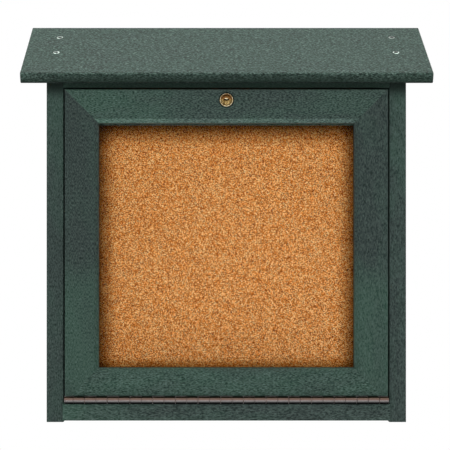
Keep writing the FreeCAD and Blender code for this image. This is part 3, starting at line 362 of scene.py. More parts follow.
def metal(name, bright, dull, roughness, streak=(1, 1, 1)):
    """Worn metal: dull patches, fine scratches drawn out along the given scale."""
    material, tree, shader = new_material(name)
    wear = noise(tree, place_pattern(tree), scale=240, detail=3.0, roughness=0.6)
    scratches = noise(tree, place_pattern(tree, scale=streak), scale=5200, roughness=0.6)
    set_surface(tree, shader, {
        "Base Color": mix_colours(tree, smooth_step(tree, wear, 0.42, 0.66), bright, dull),
        "Metallic": 1.0,
        "Roughness": smooth_step(tree, wear, 0.35, 0.7, roughness, roughness + 0.16),
        "Normal": bump(tree, scratches, 0.02 * MM, 0.35)})
    return material


def screw_finish():
    """Coated steel: a greenish-white coat, dull in its worn patches, with painted shade that is
    darker towards the middle of the head and darkest in the recess."""
    material, tree, shader = new_material("coated_screw_steel")
    share = add_node(tree, "ShaderNodeAttribute", attribute_name="head_share").outputs["Fac"]
    wear = noise(tree, place_pattern(tree), scale=420, roughness=0.6)
    coat = mix_colours(tree, wear, srgb(146, 166, 156), srgb(196, 212, 202))
    patches = noise(tree, place_pattern(tree), scale=260, detail=1.0)
    # The patches are wear; the head's middle and the recess get painted shade.
    dull_patch, recess_shade = 0.35, 0.14
    brightness = product(tree, smooth_step(tree, patches, 0.42, 0.58, dull_patch, 1.0),
                         smooth_step(tree, share, 0.48, 0.86, recess_shade, 1.0))
    set_surface(tree, shader, {
        "Base Color": vector_math(tree, "SCALE", coat, scale=brightness),
        "Metallic": 0.75,
        "Roughness": smooth_step(tree, wear, 0.3, 0.7, 0.38, 0.55),
        "Normal": bump(tree, wear, 0.05 * MM, 0.4)})
    return material


def hinge_finish():
    """Plated steel with painted reflections, pinkish brown above and grey below, a painted highlight
    along the front of the knuckles, painted shadow where they meet the wood, and drawn scratches."""
    material, tree, shader = new_material("hinge_steel_plate")
    up = split(tree, object_normal(tree))["Z"]
    depth = split(tree, place_pattern(tree))["Y"]
    wear = noise(tree, place_pattern(tree, scale=(0.35, 1, 1)), scale=420, detail=3.0, roughness=0.6)
    scratches = noise(tree, place_pattern(tree, scale=(0.06, 1, 1)), scale=5200, roughness=0.6)
    # Painted reflections: pinkish brown where the knuckles face up, grey where they face down.
    upper = mix_colours(tree, wear, srgb(104, 82, 73), srgb(136, 116, 106))
    lower = mix_colours(tree, wear, srgb(86, 84, 84), srgb(113, 110, 110))
    colour = mix_colours(tree, smooth_step(tree, up, -0.12, 0.12), lower, upper)
    # Painted highlight: a bright line just below the knuckles' middle.
    below_middle = 0.06
    off_highlight = math_node(tree, "ABSOLUTE", math_node(tree, "ADD", up, below_middle))
    on_highlight = smooth_step(tree, off_highlight, 0.06, 0.20, 1.0, 0.0)
    colour = mix_colours(tree, on_highlight, colour, srgb(149, 143, 142))
    # Painted shadow on the front of the knuckles above and below, where they meet the wood.
    on_knuckle = smooth_step(tree, depth, DOOR_FACE - 0.4 * MM, DOOR_FACE, 1.0, 0.0)
    gap_shade_above = product(tree, on_knuckle, smooth_step(tree, up, 0.50, 0.70))
    gap_shade_below = product(tree, on_knuckle, smooth_step(tree, up, -0.54, -0.36, 1.0, 0.0))
    colour = mix_colours(tree, gap_shade_above, colour, srgb(34, 27, 18))
    set_surface(tree, shader, {
        "Base Color": mix_colours(tree, gap_shade_below, colour, srgb(7, 7, 7)),
        "Metallic": 1.0,
        "Roughness": smooth_step(tree, wear, 0.3, 0.75, 0.30, 0.46),
        "Normal": bump(tree, scratches, 0.02 * MM, 0.35)})
    return material


def brass(name, bright, dull, roughness, browner_from=None):
    """Brass with worn patches and painted dark reflections where it faces up and where it turns
    away from the front, and browner above a height if one is given."""
    material, tree, shader = new_material(name)
    normal = split(tree, object_normal(tree))
    wear = noise(tree, place_pattern(tree), scale=520, detail=3.0, roughness=0.6)
    colour = mix_colours(tree, smooth_step(tree, wear, 0.36, 0.64), bright, dull)
    if browner_from is not None:
        height = math_node(tree, "MULTIPLY_ADD", wear, 2 * MM, split(tree, place_pattern(tree))["Z"])
        share = smooth_step(tree, height, browner_from + 0.4 * MM, browner_from + 2.2 * MM)
        colour = mix_colours(tree, share, colour, srgb(128, 88, 46))
    # Painted reflections: darker where a face looks up and where it turns away from the front.
    dark_reflection_above, dark_reflection_aside = 0.42, 0.35
    brightness = product(tree, smooth_step(tree, normal["Z"], -0.1, 0.8, 1.0, dark_reflection_above),
                         smooth_step(tree, normal["Y"], -0.80, -0.35, 1.0, dark_reflection_aside))
    set_surface(tree, shader, {
        "Base Color": vector_math(tree, "SCALE", colour, scale=brightness),
        "Metallic": 1.0,
        "Roughness": smooth_step(tree, wear, 0.3, 0.7, roughness, roughness + 0.12),
        "Normal": bump(tree, wear, 0.04 * MM, 0.4)})
    return material


def foam():
    material, tree, shader = new_material("seal_foam")
    wall = cells(tree, place_pattern(tree), 1600)["Distance"]
    set_surface(tree, shader, {
        "Base Color": mix_colours(tree, wall, srgb(30, 31, 32), srgb(52, 53, 54)),
        "Roughness": 0.9, "Normal": bump(tree, wall, 0.2 * MM, 0.6)})
    return material


def set_finishes(mesh, *finishes):
    mesh.materials.clear()
    for finish in finishes:
        mesh.materials.append(finish)


def dress(names, material):
    for name in names:
        set_finishes(nodes[name].data, material)


def dress_boards():
    """Each board's grain, its ground from end to end, and the faces that a saw left, with painted
    light and shade: lighter routed chamfers, a darker roof edge, the roof's shadow and rings.
    """
    # Painted light on the routed chamfers and painted shade on the roof's eased lower edge.
    routed_down, routed_up = (0, -1, -1), (0, -1, 1)
    routed_right, routed_left = (1, -1, 0), (-1, -1, 0)
    slope = math.radians(30)
    front_edge = (0, -math.cos(slope), -math.sin(slope))
    lower_ease = (0, -math.cos(slope) + math.sin(slope), -math.sin(slope) - math.cos(slope))
    roof_left, roof_right = (corner.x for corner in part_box("roof_board"))
    roof_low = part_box("roof_board")[0].z
    # Rings of painted shade round the roof's screws and round the lock.
    round_screws = [(screw.top, screw.head_radius, screw.head_radius + 1.3 * MM)
                    for screw in screws_of("roof_screws")]
    bezel = (LOCK_HIGH.x - LOCK_LOW.x) / 2
    round_lock = [(LOCK_SEAT, bezel + 0.6 * MM, bezel + 1.7 * MM)]
    # Painted shade on the roof's front edge, darker low down, and painted light towards both ends.
    painted_roof_edge = [
        (front_edge, "Z", (roof_low, 0.36), (roof_low + 10 * MM, 0.74)),
        (front_edge, "X", (roof_left + 12 * MM, 1.38), (roof_left + 55 * MM, 1.0)),
        (front_edge, "X", (roof_right - 120 * MM, 1.0), (roof_right - 60 * MM, 1.22))]
    # Painted shadow of the roof on the side boards' fronts, darkest just below it.
    roof_shadow = [((0, -1, 0), "Z", (roof_low - 18 * MM, 1.0), (roof_low + 1 * MM, 0.32))]
    kinds = {
        "roof_board": dict(
            grain="X", greens=(1.0, 1.0, 0.0, 1.0), shade=0.765, depth=2.0,
            faces=[(lower_ease, 0.45)], painted_shade=painted_roof_edge, shade_rings=round_screws),
        # The top board is made dark as painted shade under the roof.
        "top_board": dict(grain="X", greens=(1.0, 1.0, 0.0, 1.0), shade=0.60, depth=0.28),
        "bottom_board": dict(grain="X", greens=(0.95, 0.15, 0.0, 0.35), shade=1.01, depth=0.80),
        "door_top_rail": dict(
            grain="X", greens=(0.9, 0.35, 0.1, 0.55), shade=1.02,
            faces=[(routed_down, 1.85)], shade_rings=round_lock),
        "door_bottom_rail": dict(
            grain="X", greens=(0.8, 0.7, 0.0, 1.0), shade=1.04, depth=0.98,
            faces=[(routed_up, 1.35)]),
        "door_left_stile": dict(
            grain="Z", greens=(0.95, 0.0, 0.25, 0.5), shade=0.92, depth=0.68,
            faces=[(routed_right, 1.15)]),
        "door_right_stile": dict(
            grain="Z", greens=(0.95, 0.0, 0.25, 0.5), shade=0.95, depth=0.53,
            faces=[(routed_left, 1.15)]),
        "left_side_board": dict(
            grain="Z", greens=(0.05, 0.45, 0.45, 0.70), shade=0.985, depth=0.54, painted_shade=roof_shadow),
        "right_side_board": dict(
            grain="Z", greens=(0.05, 0.45, 0.45, 0.70), shade=1.05, depth=0.58, painted_shade=roof_shadow)}
    for name in ("upper_hanging_rail", "lower_hanging_rail", "back_panel", "top_window_strip",
                 "bottom_window_strip"):
        kinds[name] = dict(grain="X", greens=(0.3, 0.7, 0.0, 1.0))
    for name in ("left_door_stop", "right_door_stop", "left_window_strip", "right_window_strip"):
        kinds[name] = dict(grain="Z", greens=(0.6, 0.3, 0.0, 1.0))
    for name, kind in kinds.items():
        dress([name], lumber(name, **kind))


def dress_the_rest():
    dress(["cork_sheet"], cork_granules())
    dress(["window_sheet"], clear_sheet())
    dress(["left_seal_strip", "right_seal_strip"], foam())
    steel = metal("hinge_pin_steel", srgb(168, 150, 140), srgb(120, 104, 96), 0.34, (0.08, 1, 1))
    dress(["hinge_fixed_leaf", "hinge_door_leaf", "hinge_pin"], steel)
    screws = metal("screw_steel", srgb(184, 196, 188), srgb(140, 152, 144), 0.34)
    dress([name for name in nodes if name.endswith("_screws")] + ["cam_screw"], screws)
    zinc = metal("zinc_plate", srgb(196, 196, 190), srgb(150, 150, 146), 0.32)
    dress(["lock_nut", "lock_washer", "lock_cam"], zinc)
    dress(["strike_plate"], metal("dull_zinc_plate", srgb(96, 97, 95), srgb(66, 67, 66), 0.5))
    dress(["lock_body", "lock_plug"], metal("lock_brass", srgb(214, 176, 120), srgb(150, 112, 62), 0.22))


# Shapes that follow a rule, made by Geometry Nodes

def shape_tree(name, sizes):
    """A tree that takes places, named sizes and a finish. It comes with its inputs by name."""
    tree = bpy.data.node_groups.new(name, "GeometryNodeTree")
    tree.interface.new_socket("Shape", in_out="OUTPUT", socket_type="NodeSocketGeometry")
    tree.interface.new_socket("Places", in_out="INPUT", socket_type="NodeSocketGeometry")
    for size in sizes:
        tree.interface.new_socket(size, in_out="INPUT", socket_type="NodeSocketFloat")
    tree.interface.new_socket("Finish", in_out="INPUT", socket_type="NodeSocketMaterial")
    return tree, add_node(tree, "NodeGroupInput").outputs


def move_shape(tree, shape, place=None, turn=None, scale=None):
    return wired_node(tree, "GeometryNodeTransform", (
        ("Geometry", shape), ("Translation", place), ("Rotation", turn), ("Scale", scale)))


def named(tree, attribute, kind="FLOAT"):
    return wired_node(tree, "GeometryNodeInputNamedAttribute", (("Name", attribute),), data_type=kind)


def cut_shape(tree, shape, *tools):
    node = add_node(tree, "GeometryNodeMeshBoolean", operation="DIFFERENCE", solver="EXACT")
    feed(tree, node.inputs["Mesh 1"], shape)
    for tool in tools:
        feed(tree, node.inputs["Mesh 2"], tool)
    return node.outputs["Mesh"]


def finish_tree(tree, shape, finish):
    """Real meshes in place of instances, round faces smooth and edges crisp, then the finish."""
    crisp_angle = math.radians(32)
    shape = wired_node(tree, "GeometryNodeRealizeInstances", (("Geometry", shape),))
    shape = wired_node(tree, "GeometryNodeSetShadeSmooth", (("Geometry", shape), ("Shade Smooth", True)))
    angle = wired_node(tree, "GeometryNodeInputMeshEdgeAngle")
    crisp = wired_node(tree, "FunctionNodeCompare", (("A", angle), ("B", crisp_angle)))
    shape = wired_node(tree, "GeometryNodeSetShadeSmooth", (
        ("Geometry", shape), ("Selection", crisp), ("Shade Smooth", False)), domain="EDGE")
    shape = wired_node(tree, "GeometryNodeSetMaterial", (("Geometry", shape), ("Material", finish)))
    feed(tree, add_node(tree, "NodeGroupOutput").inputs["Shape"], shape)


def screw_tree():
    """A countersunk wood screw down its own -Z, with a cross recess, at each place along aim."""
    tree, size = shape_tree("countersunk_screw", (
        "Head Radius", "Shank Radius", "Length", "Thread Pitch", "Thread Depth", "Seed"))
    head, shank, length = size["Head Radius"], size["Shank Radius"], size["Length"]
    around, rows_a_turn, head_rows = 18, 3, 5
    taper = product(tree, shank, 2.0)
    neck = math_node(tree, "SUBTRACT", head, shank)
    threaded = math_node(tree, "SUBTRACT", math_node(tree, "SUBTRACT", length, neck), taper)
    turns = math_node(tree, "DIVIDE", threaded, size["Thread Pitch"])
    thread_rows = math_node(tree, "CEIL", product(tree, turns, rows_a_turn))
    shoulder = math_node(tree, "ADD", thread_rows, head_rows - 1)
    last = math_node(tree, "ADD", shoulder, 1)
    grid = wired_node(tree, "GeometryNodeMeshGrid", (
        ("Size X", 1.0), ("Size Y", 1.0), ("Vertices X", around + 1),
        ("Vertices Y", math_node(tree, "ADD", last, 1))))
    corner = split(tree, wired_node(tree, "GeometryNodeInputPosition"))
    turn = math_node(tree, "ADD", corner["X"], 0.5)
    row = product(tree, math_node(tree, "ADD", corner["Y"], 0.5), last)

    # The outline from the middle of the head to the tip, as steps outwards and down: the flat and
    # the eased rim as shares of the head's radius, then the countersink, the thread and the point.
    flat_and_rim = ((0.86, 0.0), (0.08, 0.02), (0.01, 0.03))
    rim_radius, rim_depth = (sum(shares) for shares in zip(*flat_and_rim))
    steps = [(product(tree, head, outwards), product(tree, head, down)) for outwards, down in flat_and_rim]
    steps.append((math_node(tree, "MULTIPLY_ADD", head, -rim_radius, shank),
                  math_node(tree, "MULTIPLY_ADD", head, -rim_depth, neck)))
    steps += [(0.0, threaded), (product(tree, shank, -1.0), taper)]
    rows = (0, 1, 2, 3, head_rows - 1, shoulder, last)
    radius, depth = 0.0, 0.0
    for (outwards, down), start, end in zip(steps, rows, rows[1:]):
        share = ramp(tree, row, start, end)
        radius = math_node(tree, "MULTIPLY_ADD", share, outwards, radius)
        depth = math_node(tree, "MULTIPLY_ADD", share, down, depth)
    wound = math_node(tree, "ADD", math_node(tree, "DIVIDE", depth, size["Thread Pitch"]), turn)
    ridge = math_node(tree, "PINGPONG", product(tree, wound, 2.0), 1.0)
    groove = product(tree, size["Thread Depth"], math_node(tree, "SUBTRACT", 1.0, ridge))
    in_thread = product(tree, ramp(tree, row, head_rows, head_rows + rows_a_turn),
                        math_node(tree, "SUBTRACT", 1.0, ramp(tree, row, shoulder, last)))
    radius = math_node(tree, "SUBTRACT", radius, product(tree, groove, in_thread))
    angle = product(tree, turn, math.tau)
    place = vector_of(tree, product(tree, radius, math_node(tree, "COSINE", angle)),
                      product(tree, radius, math_node(tree, "SINE", angle)), product(tree, depth, -1.0))
    skin = wired_node(tree, "GeometryNodeSetPosition", (("Geometry", grid), ("Position", place)))
    same_place = 0.002 * MM
    skin = wired_node(tree, "GeometryNodeMergeByDistance", (("Geometry", skin), ("Distance", same_place)))

    # Two crossed wedges, wider at the top, cut the recess.
    recess_depth, wedge_top, wedge_foot, narrow = 0.42, 1.06, 0.42, 0.22
    deep = product(tree, head, recess_depth)
    wedge = wired_node(tree, "GeometryNodeMeshCone", (
        ("Vertices", 4), ("Radius Top", product(tree, head, wedge_top)),
        ("Radius Bottom", product(tree, head, wedge_foot)), ("Depth", product(tree, deep, 1.5))))
    wedge = move_shape(tree, wedge, turn=(0, 0, math.radians(45)))
    drop = vector_of(tree, z=product(tree, deep, -1.0))
    wedges = [move_shape(tree, wedge, drop, scale=scale) for scale in ((1, narrow, 1), (narrow, 1, 1))]
    screw = cut_shape(tree, skin, *wedges)
    here = split(tree, wired_node(tree, "GeometryNodeInputPosition"))
    from_axis = vector_math(tree, "LENGTH", vector_of(tree, here["X"], here["Y"]), output="Value")
    screw = wired_node(tree, "GeometryNodeStoreNamedAttribute", (
        ("Geometry", screw), ("Name", "head_share"),
        ("Value", math_node(tree, "DIVIDE", from_axis, head))), domain="POINT", data_type="FLOAT")

    aim = named(tree, "aim", "FLOAT_VECTOR")
    upright = wired_node(tree, "FunctionNodeAlignRotationToVector", (("Vector", aim),), axis="Z")
    screws = wired_node(tree, "GeometryNodeInstanceOnPoints", (
        ("Points", size["Places"]), ("Instance", screw), ("Rotation", upright)))
    chance = add_node(tree, "FunctionNodeRandomValue", data_type="FLOAT")
    limits = [socket for socket in chance.inputs if socket.enabled]
    for socket, value in zip(limits, (0.0, math.tau)):
        feed(tree, socket, value)
    feed(tree, chance.inputs["Seed"], size["Seed"])
    turn = next(socket for socket in chance.outputs if socket.enabled)
    screws = wired_node(tree, "GeometryNodeRotateInstances", (
        ("Instances", screws), ("Rotation", vector_of(tree, z=turn)), ("Local Space", True)))
    finish_tree(tree, screws, size["Finish"])
    return tree


def add_object(name, data):
    added = bpy.data.objects.new(name, data)
    scene.collection.objects.link(added)
    return added


def keep_mesh(name, source, tools=()):
    """The shape that an object's modifiers give, as a plain mesh object. What made it goes."""
    evaluated = source.evaluated_get(bpy.context.evaluated_depsgraph_get())
    mesh = bpy.data.meshes.new_from_object(evaluated)
    mesh.name = name
    for used in (source, *tools):
        bpy.data.objects.remove(used)
    return add_object(name, mesh)


def make_shape(name, tree, places, attributes, sizes, finish):
    """Runs a tree on points with attributes and keeps the result as a plain mesh object."""
    points = bpy.data.meshes.new(name + "_places")
    points.from_pydata(places, [], [])
    for attribute, values in attributes.items():
        kind, field = ("FLOAT", "value") if isinstance(values[0], float) else ("FLOAT_VECTOR", "vector")
        layer = points.attributes.new(attribute, kind, "POINT")
        for item, value in zip(layer.data, values):
            setattr(item, field, value)
    carrier = add_object(name + "_places", points)
    modifier = carrier.modifiers.new("shape", "NODES")
    modifier.node_group = tree
    given = {**sizes, "Finish": finish}
    for item in tree.interface.items_tree:
        if item.in_out == "INPUT" and item.name in given:
            modifier[item.identifier] = given[item.name]
    piece = keep_mesh(name, carrier)
    set_finishes(piece.data, finish)
    return piece


def loose_parts(name):
    """The separate solids of a CAD node, each as its corner points, from a merged copy."""
    copy = bmesh.new()
    copy.from_mesh(nodes[name].data)
    bmesh.ops.remove_doubles(copy, verts=copy.verts, dist=0.001 * MM)
    copy.verts.ensure_lookup_table()
    left, parts = set(copy.verts), []
    while left:
        part, edge = set(), [left.pop()]
        while edge:
            vertex = edge.pop()
            part.add(vertex)
            joined = {link.other_vert(vertex) for link in vertex.link_edges} & left
            left -= joined
            edge.extend(joined)
        parts.append([vertex.co.copy() for vertex in part])
    copy.free()
    return sorted(parts, key=lambda part: min((point.x, point.y, point.z) for point in part))


def read_screw(points):
    """A countersunk screw: its head's middle, the way it points outwards, its radius and length."""
    middle = sum(points, Vector()) / len(points)
    tip = max(points, key=lambda point: (point - middle).length)
    far = max((point - tip).length for point in points)
    rim = [point for point in points if (point - tip).length > far - 0.01 * MM]
    first = rim[0]
    second = max(rim, key=lambda point: (point - first).length)
    third = max(rim, key=lambda point: min((point - first).length, (point - second).length))
    aim = (second - first).cross(third - first).normalized()
    if aim.dot(first - tip) < 0:
        aim.negate()
    length = aim.dot(first - tip)
    top = tip + aim * length
    return Screw(top, aim, (first - top).length, length)


def screws_of(node):
    return [read_screw(part) for part in loose_parts(node)]


def body_of(node):
    groups = frame["record"]["behaviour"]["bodies"]
    return next(body for body, names in groups.items() if node in names)


def leaf_tree():
    """A hinge leaf on its pin's axis: a plate with countersunk holes, and strips rolled round
    the pin. Places carry knuckle_share, a knuckle's share of the full length, or 0 for a hole."""
    tree, size = shape_tree("rolled_hinge_leaf", (
        "Gauge", "Outer Radius", "Knuckle Length", "Plate Length", "Plate Front", "Plate Back",
        "Roll Angle", "Hole Radius"))
    gauge, outer = size["Gauge"], size["Outer Radius"]
    front, back, hole = size["Plate Front"], size["Plate Back"], size["Hole Radius"]
    low = product(tree, outer, -1.0)
    middle = math_node(tree, "MULTIPLY_ADD", gauge, -0.5, outer)
    plate_level = product(tree, middle, -1.0)

    # The middle line of a strip runs level from the plate and then round the pin.
    line_points = 38
    whole = math_node(tree, "ADD", front, product(tree, size["Roll Angle"], middle))
    line = wired_node(tree, "GeometryNodeMeshLine", (
        ("Count", line_points), ("Offset", (1.0, 0.0, 0.0))))
    step = split(tree, wired_node(tree, "GeometryNodeInputPosition"))["X"]
    run = product(tree, math_node(tree, "DIVIDE", step, line_points - 1.0), whole)
    level = math_node(tree, "SUBTRACT", front, math_node(tree, "MINIMUM", run, front))
    past = math_node(tree, "MAXIMUM", math_node(tree, "SUBTRACT", run, front), 0.0)
    angle = math_node(tree, "DIVIDE", past, middle)
    y = math_node(tree, "SUBTRACT", level, product(tree, middle, math_node(tree, "SINE", angle)))
    z = product(tree, plate_level, math_node(tree, "COSINE", angle))
    bent = wired_node(tree, "GeometryNodeSetPosition", (
        ("Geometry", line), ("Position", vector_of(tree, 0.0, y, z))))
    path = wired_node(tree, "GeometryNodeMeshToCurve", (("Mesh", bent),))
    section = wired_node(tree, "GeometryNodeCurvePrimitiveQuadrilateral", (
        ("Width", size["Knuckle Length"]), ("Height", gauge)), mode="RECTANGLE")
    section = wired_node(tree, "GeometryNodeFilletCurve", (
        ("Curve", section), ("Radius", product(tree, gauge, 0.22)), ("Count", 3)), mode="POLY")
    strip = wired_node(tree, "GeometryNodeCurveToMesh", (
        ("Curve", path), ("Profile Curve", section), ("Fill Caps", True)))
    share = named(tree, "knuckle_share")
    is_knuckle = wired_node(tree, "FunctionNodeCompare", (("A", share), ("B", 0.01)))
    strips = wired_node(tree, "GeometryNodeInstanceOnPoints", (
        ("Points", size["Places"]), ("Selection", is_knuckle), ("Instance", strip),
        ("Scale", vector_of(tree, share, 1.0, 1.0))))

    plate_size = vector_of(tree, size["Plate Length"], math_node(tree, "SUBTRACT", back, front), gauge)
    plate = wired_node(tree, "GeometryNodeMeshCube", (("Size", plate_size),))
    centre = product(tree, math_node(tree, "ADD", front, back), 0.5)
    plate = move_shape(tree, plate, vector_of(tree, 0.0, centre, plate_level))
    sink = wired_node(tree, "GeometryNodeMeshCone", (
        ("Vertices", 24), ("Radius Top", math_node(tree, "MULTIPLY_ADD", gauge, 0.5, hole)),
        ("Radius Bottom", math_node(tree, "MULTIPLY_ADD", gauge, -1.5, hole)),
        ("Depth", product(tree, gauge, 2.0))))
    sink = move_shape(tree, sink, vector_of(tree, z=math_node(tree, "MULTIPLY_ADD", gauge, -0.5, low)))
    is_hole = wired_node(tree, "FunctionNodeBooleanMath", ((0, is_knuckle),), operation="NOT")
    holes = wired_node(tree, "GeometryNodeInstanceOnPoints", (
        ("Points", size["Places"]), ("Instance", sink), ("Selection", is_hole)))
    holes = wired_node(tree, "GeometryNodeRealizeInstances", (("Geometry", holes),))
    plate = cut_shape(tree, plate, holes)
    leaf = add_node(tree, "GeometryNodeJoinGeometry")
    for part in (strips, plate):
        feed(tree, leaf.inputs[0], part)
    finish_tree(tree, leaf.outputs[0], size["Finish"])
    return tree


def make_hinge_leaf(tree, leaf, screws, finish, over, end_knuckles):
    """One leaf where the CAD leaf is. With over it hangs from the pin instead of lying under it.
    With end_knuckles it has the outermost two, which are cut off where the leaf ends."""
    pitch, gap, gauge, clearance, relief = 12.7 * MM, 0.4 * MM, 1.9 * MM, 0.05 * MM, 0.4 * MM
    roll_angle, hole_play = math.radians(322), 0.12 * MM
    low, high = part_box(leaf)
    pin_low, pin_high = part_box("hinge_pin")
    pin = (pin_low + pin_high) / 2
    outer = (pin_high.z - pin_low.z) / 2 + clearance + gauge
    half, shift = (high.x - low.x) / 2, (high.x + low.x) / 2
    whole = 2 * math.floor((2 * half / pitch - 1) / 2) + 1
    last = (whole - 1) // 2 - (1 if end_knuckles else 0)
    knuckles = [(index * pitch, 1.0) for index in range(-last, last + 1, 2)]
    if end_knuckles:
        inside = whole / 2 * pitch + gap / 2
        share = (half - inside) / (pitch - gap)
        knuckles += [(side * (half + inside) / 2, share) for side in (-1, 1)]
    turn = Matrix.Rotation(math.pi, 4, "Y") if over else Matrix.Identity(4)
    seat = Matrix.Translation((shift, pin.y, pin.z)) @ turn
    leaf_screws = screws_of(screws)
    heads = [seat.inverted() @ screw.top for screw in leaf_screws]
    places = [(x, 0, 0) for x, share in knuckles] + [(head.x, head.y, 0) for head in heads]
    shares = [share for x, share in knuckles] + [0.0] * len(heads)
    sizes = {
        "Gauge": gauge, "Outer Radius": outer, "Knuckle Length": pitch - gap,
        "Plate Length": 2 * half, "Plate Front": outer + relief, "Plate Back": high.y - pin.y,
        "Roll Angle": roll_angle, "Hole Radius": leaf_screws[0].head_radius + hole_play}
    name = leaf.replace("hinge_", "rolled_")
    piece = make_shape(name, tree, places, {"knuckle_share": shares}, sizes, finish)
    piece.data.transform(seat)
    return piece


# Lock

def turned(outline, around=72):
    """A closed mesh turned about Z from pairs of radius and height in millimetres."""
    shell = bmesh.new()
    rings = []
    for radius, height in ((radius * MM, height * MM) for radius, height in outline):
        if radius == 0.0:
            rings.append([shell.verts.new((0, 0, height))] * around)
            continue
        angles = (math.tau * step / around for step in range(around))
        rings.append([shell.verts.new((radius * math.cos(turn), radius * math.sin(turn), height))
                      for turn in angles])
    is_ring = outline[0][0] > 0 and outline[-1][0] > 0
    for first, second in zip(rings, rings[1:] + rings[:1] if is_ring else rings[1:]):
        for step in range(around):
            after = (step + 1) % around
            corners = dict.fromkeys((first[step], first[after], second[after], second[step]))
            shell.faces.new(list(corners))
    return shell


def block(low, high, flare=0.0):
    """A closed box between two corners in millimetres, wider at its top by the flare all round."""
    box = bmesh.new()
    corners = []
    for z, wider in ((low[2], 0.0), (high[2], flare)):
        left, right = low[0] * MM - wider * MM, high[0] * MM + wider * MM
        near, far = low[1] * MM - wider * MM, high[1] * MM + wider * MM
        corners += [box.verts.new((x, y, z * MM)) for x, y in (
            (left, near), (right, near), (right, far), (left, far))]
    for side in ((3, 2, 1, 0), (4, 5, 6, 7), (0, 1, 5, 4), (1, 2, 6, 5), (2, 3, 7, 6), (3, 0, 4, 7)):
        box.faces.new([corners[index] for index in side])
    return box


def shape_object(name, shell):
    bmesh.ops.recalc_face_normals(shell, faces=shell.faces)
    mesh = bpy.data.meshes.new(name)
    shell.to_mesh(mesh)
    shell.free()
    return add_object(name, mesh)


def combine(name, shape, steps):
    """Adds and cuts other shapes in turn, and keeps the result as a plain mesh object."""
    for tool, operation in steps:
        modifier = shape.modifiers.new(operation, "BOOLEAN")
        modifier.operation = operation
        modifier.solver = "EXACT"
        modifier.object = tool
    return keep_mesh(name, shape, [tool for tool, operation in steps])


def finish_lock_piece(piece, finishes, which):
    """Smooth round faces, a finish for each face, and the piece's place on the lock's axis."""
    crisp_angle = math.radians(28)
    mesh = piece.data
    set_finishes(mesh, *finishes)
    for face in mesh.polygons:
        face.use_smooth = True
        face.material_index = which(face.center / MM, face.normal)
    mesh.set_sharp_from_angle(angle=crisp_angle)
    mesh.transform(Matrix.Translation(LOCK_SEAT) @ Matrix.Rotation(math.radians(90), 4, "X"))


def make_lock_body(back, polished, aged):
    """A threaded barrel behind a bezel, whose raised rim stands round a sunk ring. Heights are
    above the door's face."""
    bore, plug_seat, thread_root, barrel, bezel = 4.30, 5.65, 6.05, 6.35, 7.70
    shoulder, ring_floor = 0.30, 1.62
    pitch, turns = 1.0, 5
    outline = [(bore, back)]
    for step in range(turns):
        outline += [(thread_root, back + step * pitch), (barrel, back + (step + 0.5) * pitch)]
    outline += [(thread_root, back + turns * pitch), (barrel, back + (turns + 0.3) * pitch)]
    outline += [(barrel, 0.0), (bezel, 0.0), (bezel, 1.50)]
    outline += [(7.62, 1.90), (7.40, 2.22), (7.10, 2.38), (6.80, 2.40), (6.55, 2.30), (6.38, 2.05)]
    outline += [(6.30, 1.75), (6.10, ring_floor), (plug_seat, ring_floor), (plug_seat, shoulder)]
    outline += [(bore, shoulder)]
    body = shape_object("lock_rim_and_barrel", turned(outline))
    rim_inside, below_bezel = 6.7, 0.1

    def body_finish(place, normal):
        return int(place.xy.length < rim_inside or place.z < below_bezel)
    finish_lock_piece(body, [polished, aged], body_finish)
    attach(body, "door")
    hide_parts("lock_body")


def make_lock_plug(back, polished, aged, keyway_shade):
    """The plug: a crowned face, a keyway with a shallow lead-in above it, and at the back a
    square tenon with a tapped hole for the cam's screw."""
    crown, face, stem, shoulder, past_body = 3.10, 5.60, 4.25, 0.40, 0.10
    stem_end = back - past_body
    outline = [(0.0, crown), (1.6, 3.06), (3.0, 2.94), (4.2, 2.75), (5.0, 2.55), (5.40, 2.36)]
    outline += [(5.58, 2.10), (face, 1.80), (face, shoulder)]
    outline += [(stem, shoulder), (stem, stem_end), (0.0, stem_end)]
    tenon_half, tenon_length, tenon_root = 3.0, 2.0, 0.5
    tenon_end = stem_end - tenon_length
    tenon = block((-tenon_half, -tenon_half, tenon_end), (tenon_half, tenon_half, stem_end + tenon_root))
    tapped_radius, tapped_depth, clear = 1.55, 6.0, 1.0
    tapped_low, tapped_top = tenon_end - clear, stem_end + tapped_depth
    tapped = turned([(0.0, tapped_low), (tapped_radius, tapped_low), (tapped_radius, tapped_top),
                     (0.0, tapped_top)], 32)
    key_wide, key_high, key_floor, key_top = 3.2, 0.75, -5.9, 4.0
    keyway = block((-key_wide, -key_high, key_floor), (key_wide, key_high, key_top))
    lead_wide, lead_low, lead_high, lead_floor, lead_top, flare = 1.0, 0.2, 0.8, 2.45, 3.2, 1.6
    lead_in = block((-lead_wide, lead_low, lead_floor), (lead_wide, lead_high, lead_top), flare)
    plug = combine("lock_plug_turned", shape_object("plug_blank", turned(outline)), [
        (shape_object("tenon", tenon), "UNION"), (shape_object("tapped_hole", tapped), "DIFFERENCE"),
        (shape_object("keyway", keyway), "DIFFERENCE"), (shape_object("lead_in", lead_in), "DIFFERENCE")])
    slack = 0.05

    def plug_finish(place, normal):
        across, up, out = abs(place.x), place.y, place.z
        in_keyway = across < key_wide + slack and abs(up) < key_high + slack
        in_keyway = in_keyway and key_floor - slack < out < lead_floor + 3 * slack
        in_lead = across < lead_wide + flare and 0.7 < up < lead_high + flare and out > 2.3
        # The keyway's walls and floor take painted shade.
        if in_keyway and (abs(normal.z) < 0.5 or out < -5.0):
            return 2
        return 0 if in_lead and normal.y < -0.2 else 1
    finish_lock_piece(plug, [polished, aged, keyway_shade], plug_finish)
    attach(plug, "lock_core")
    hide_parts("lock_plug")


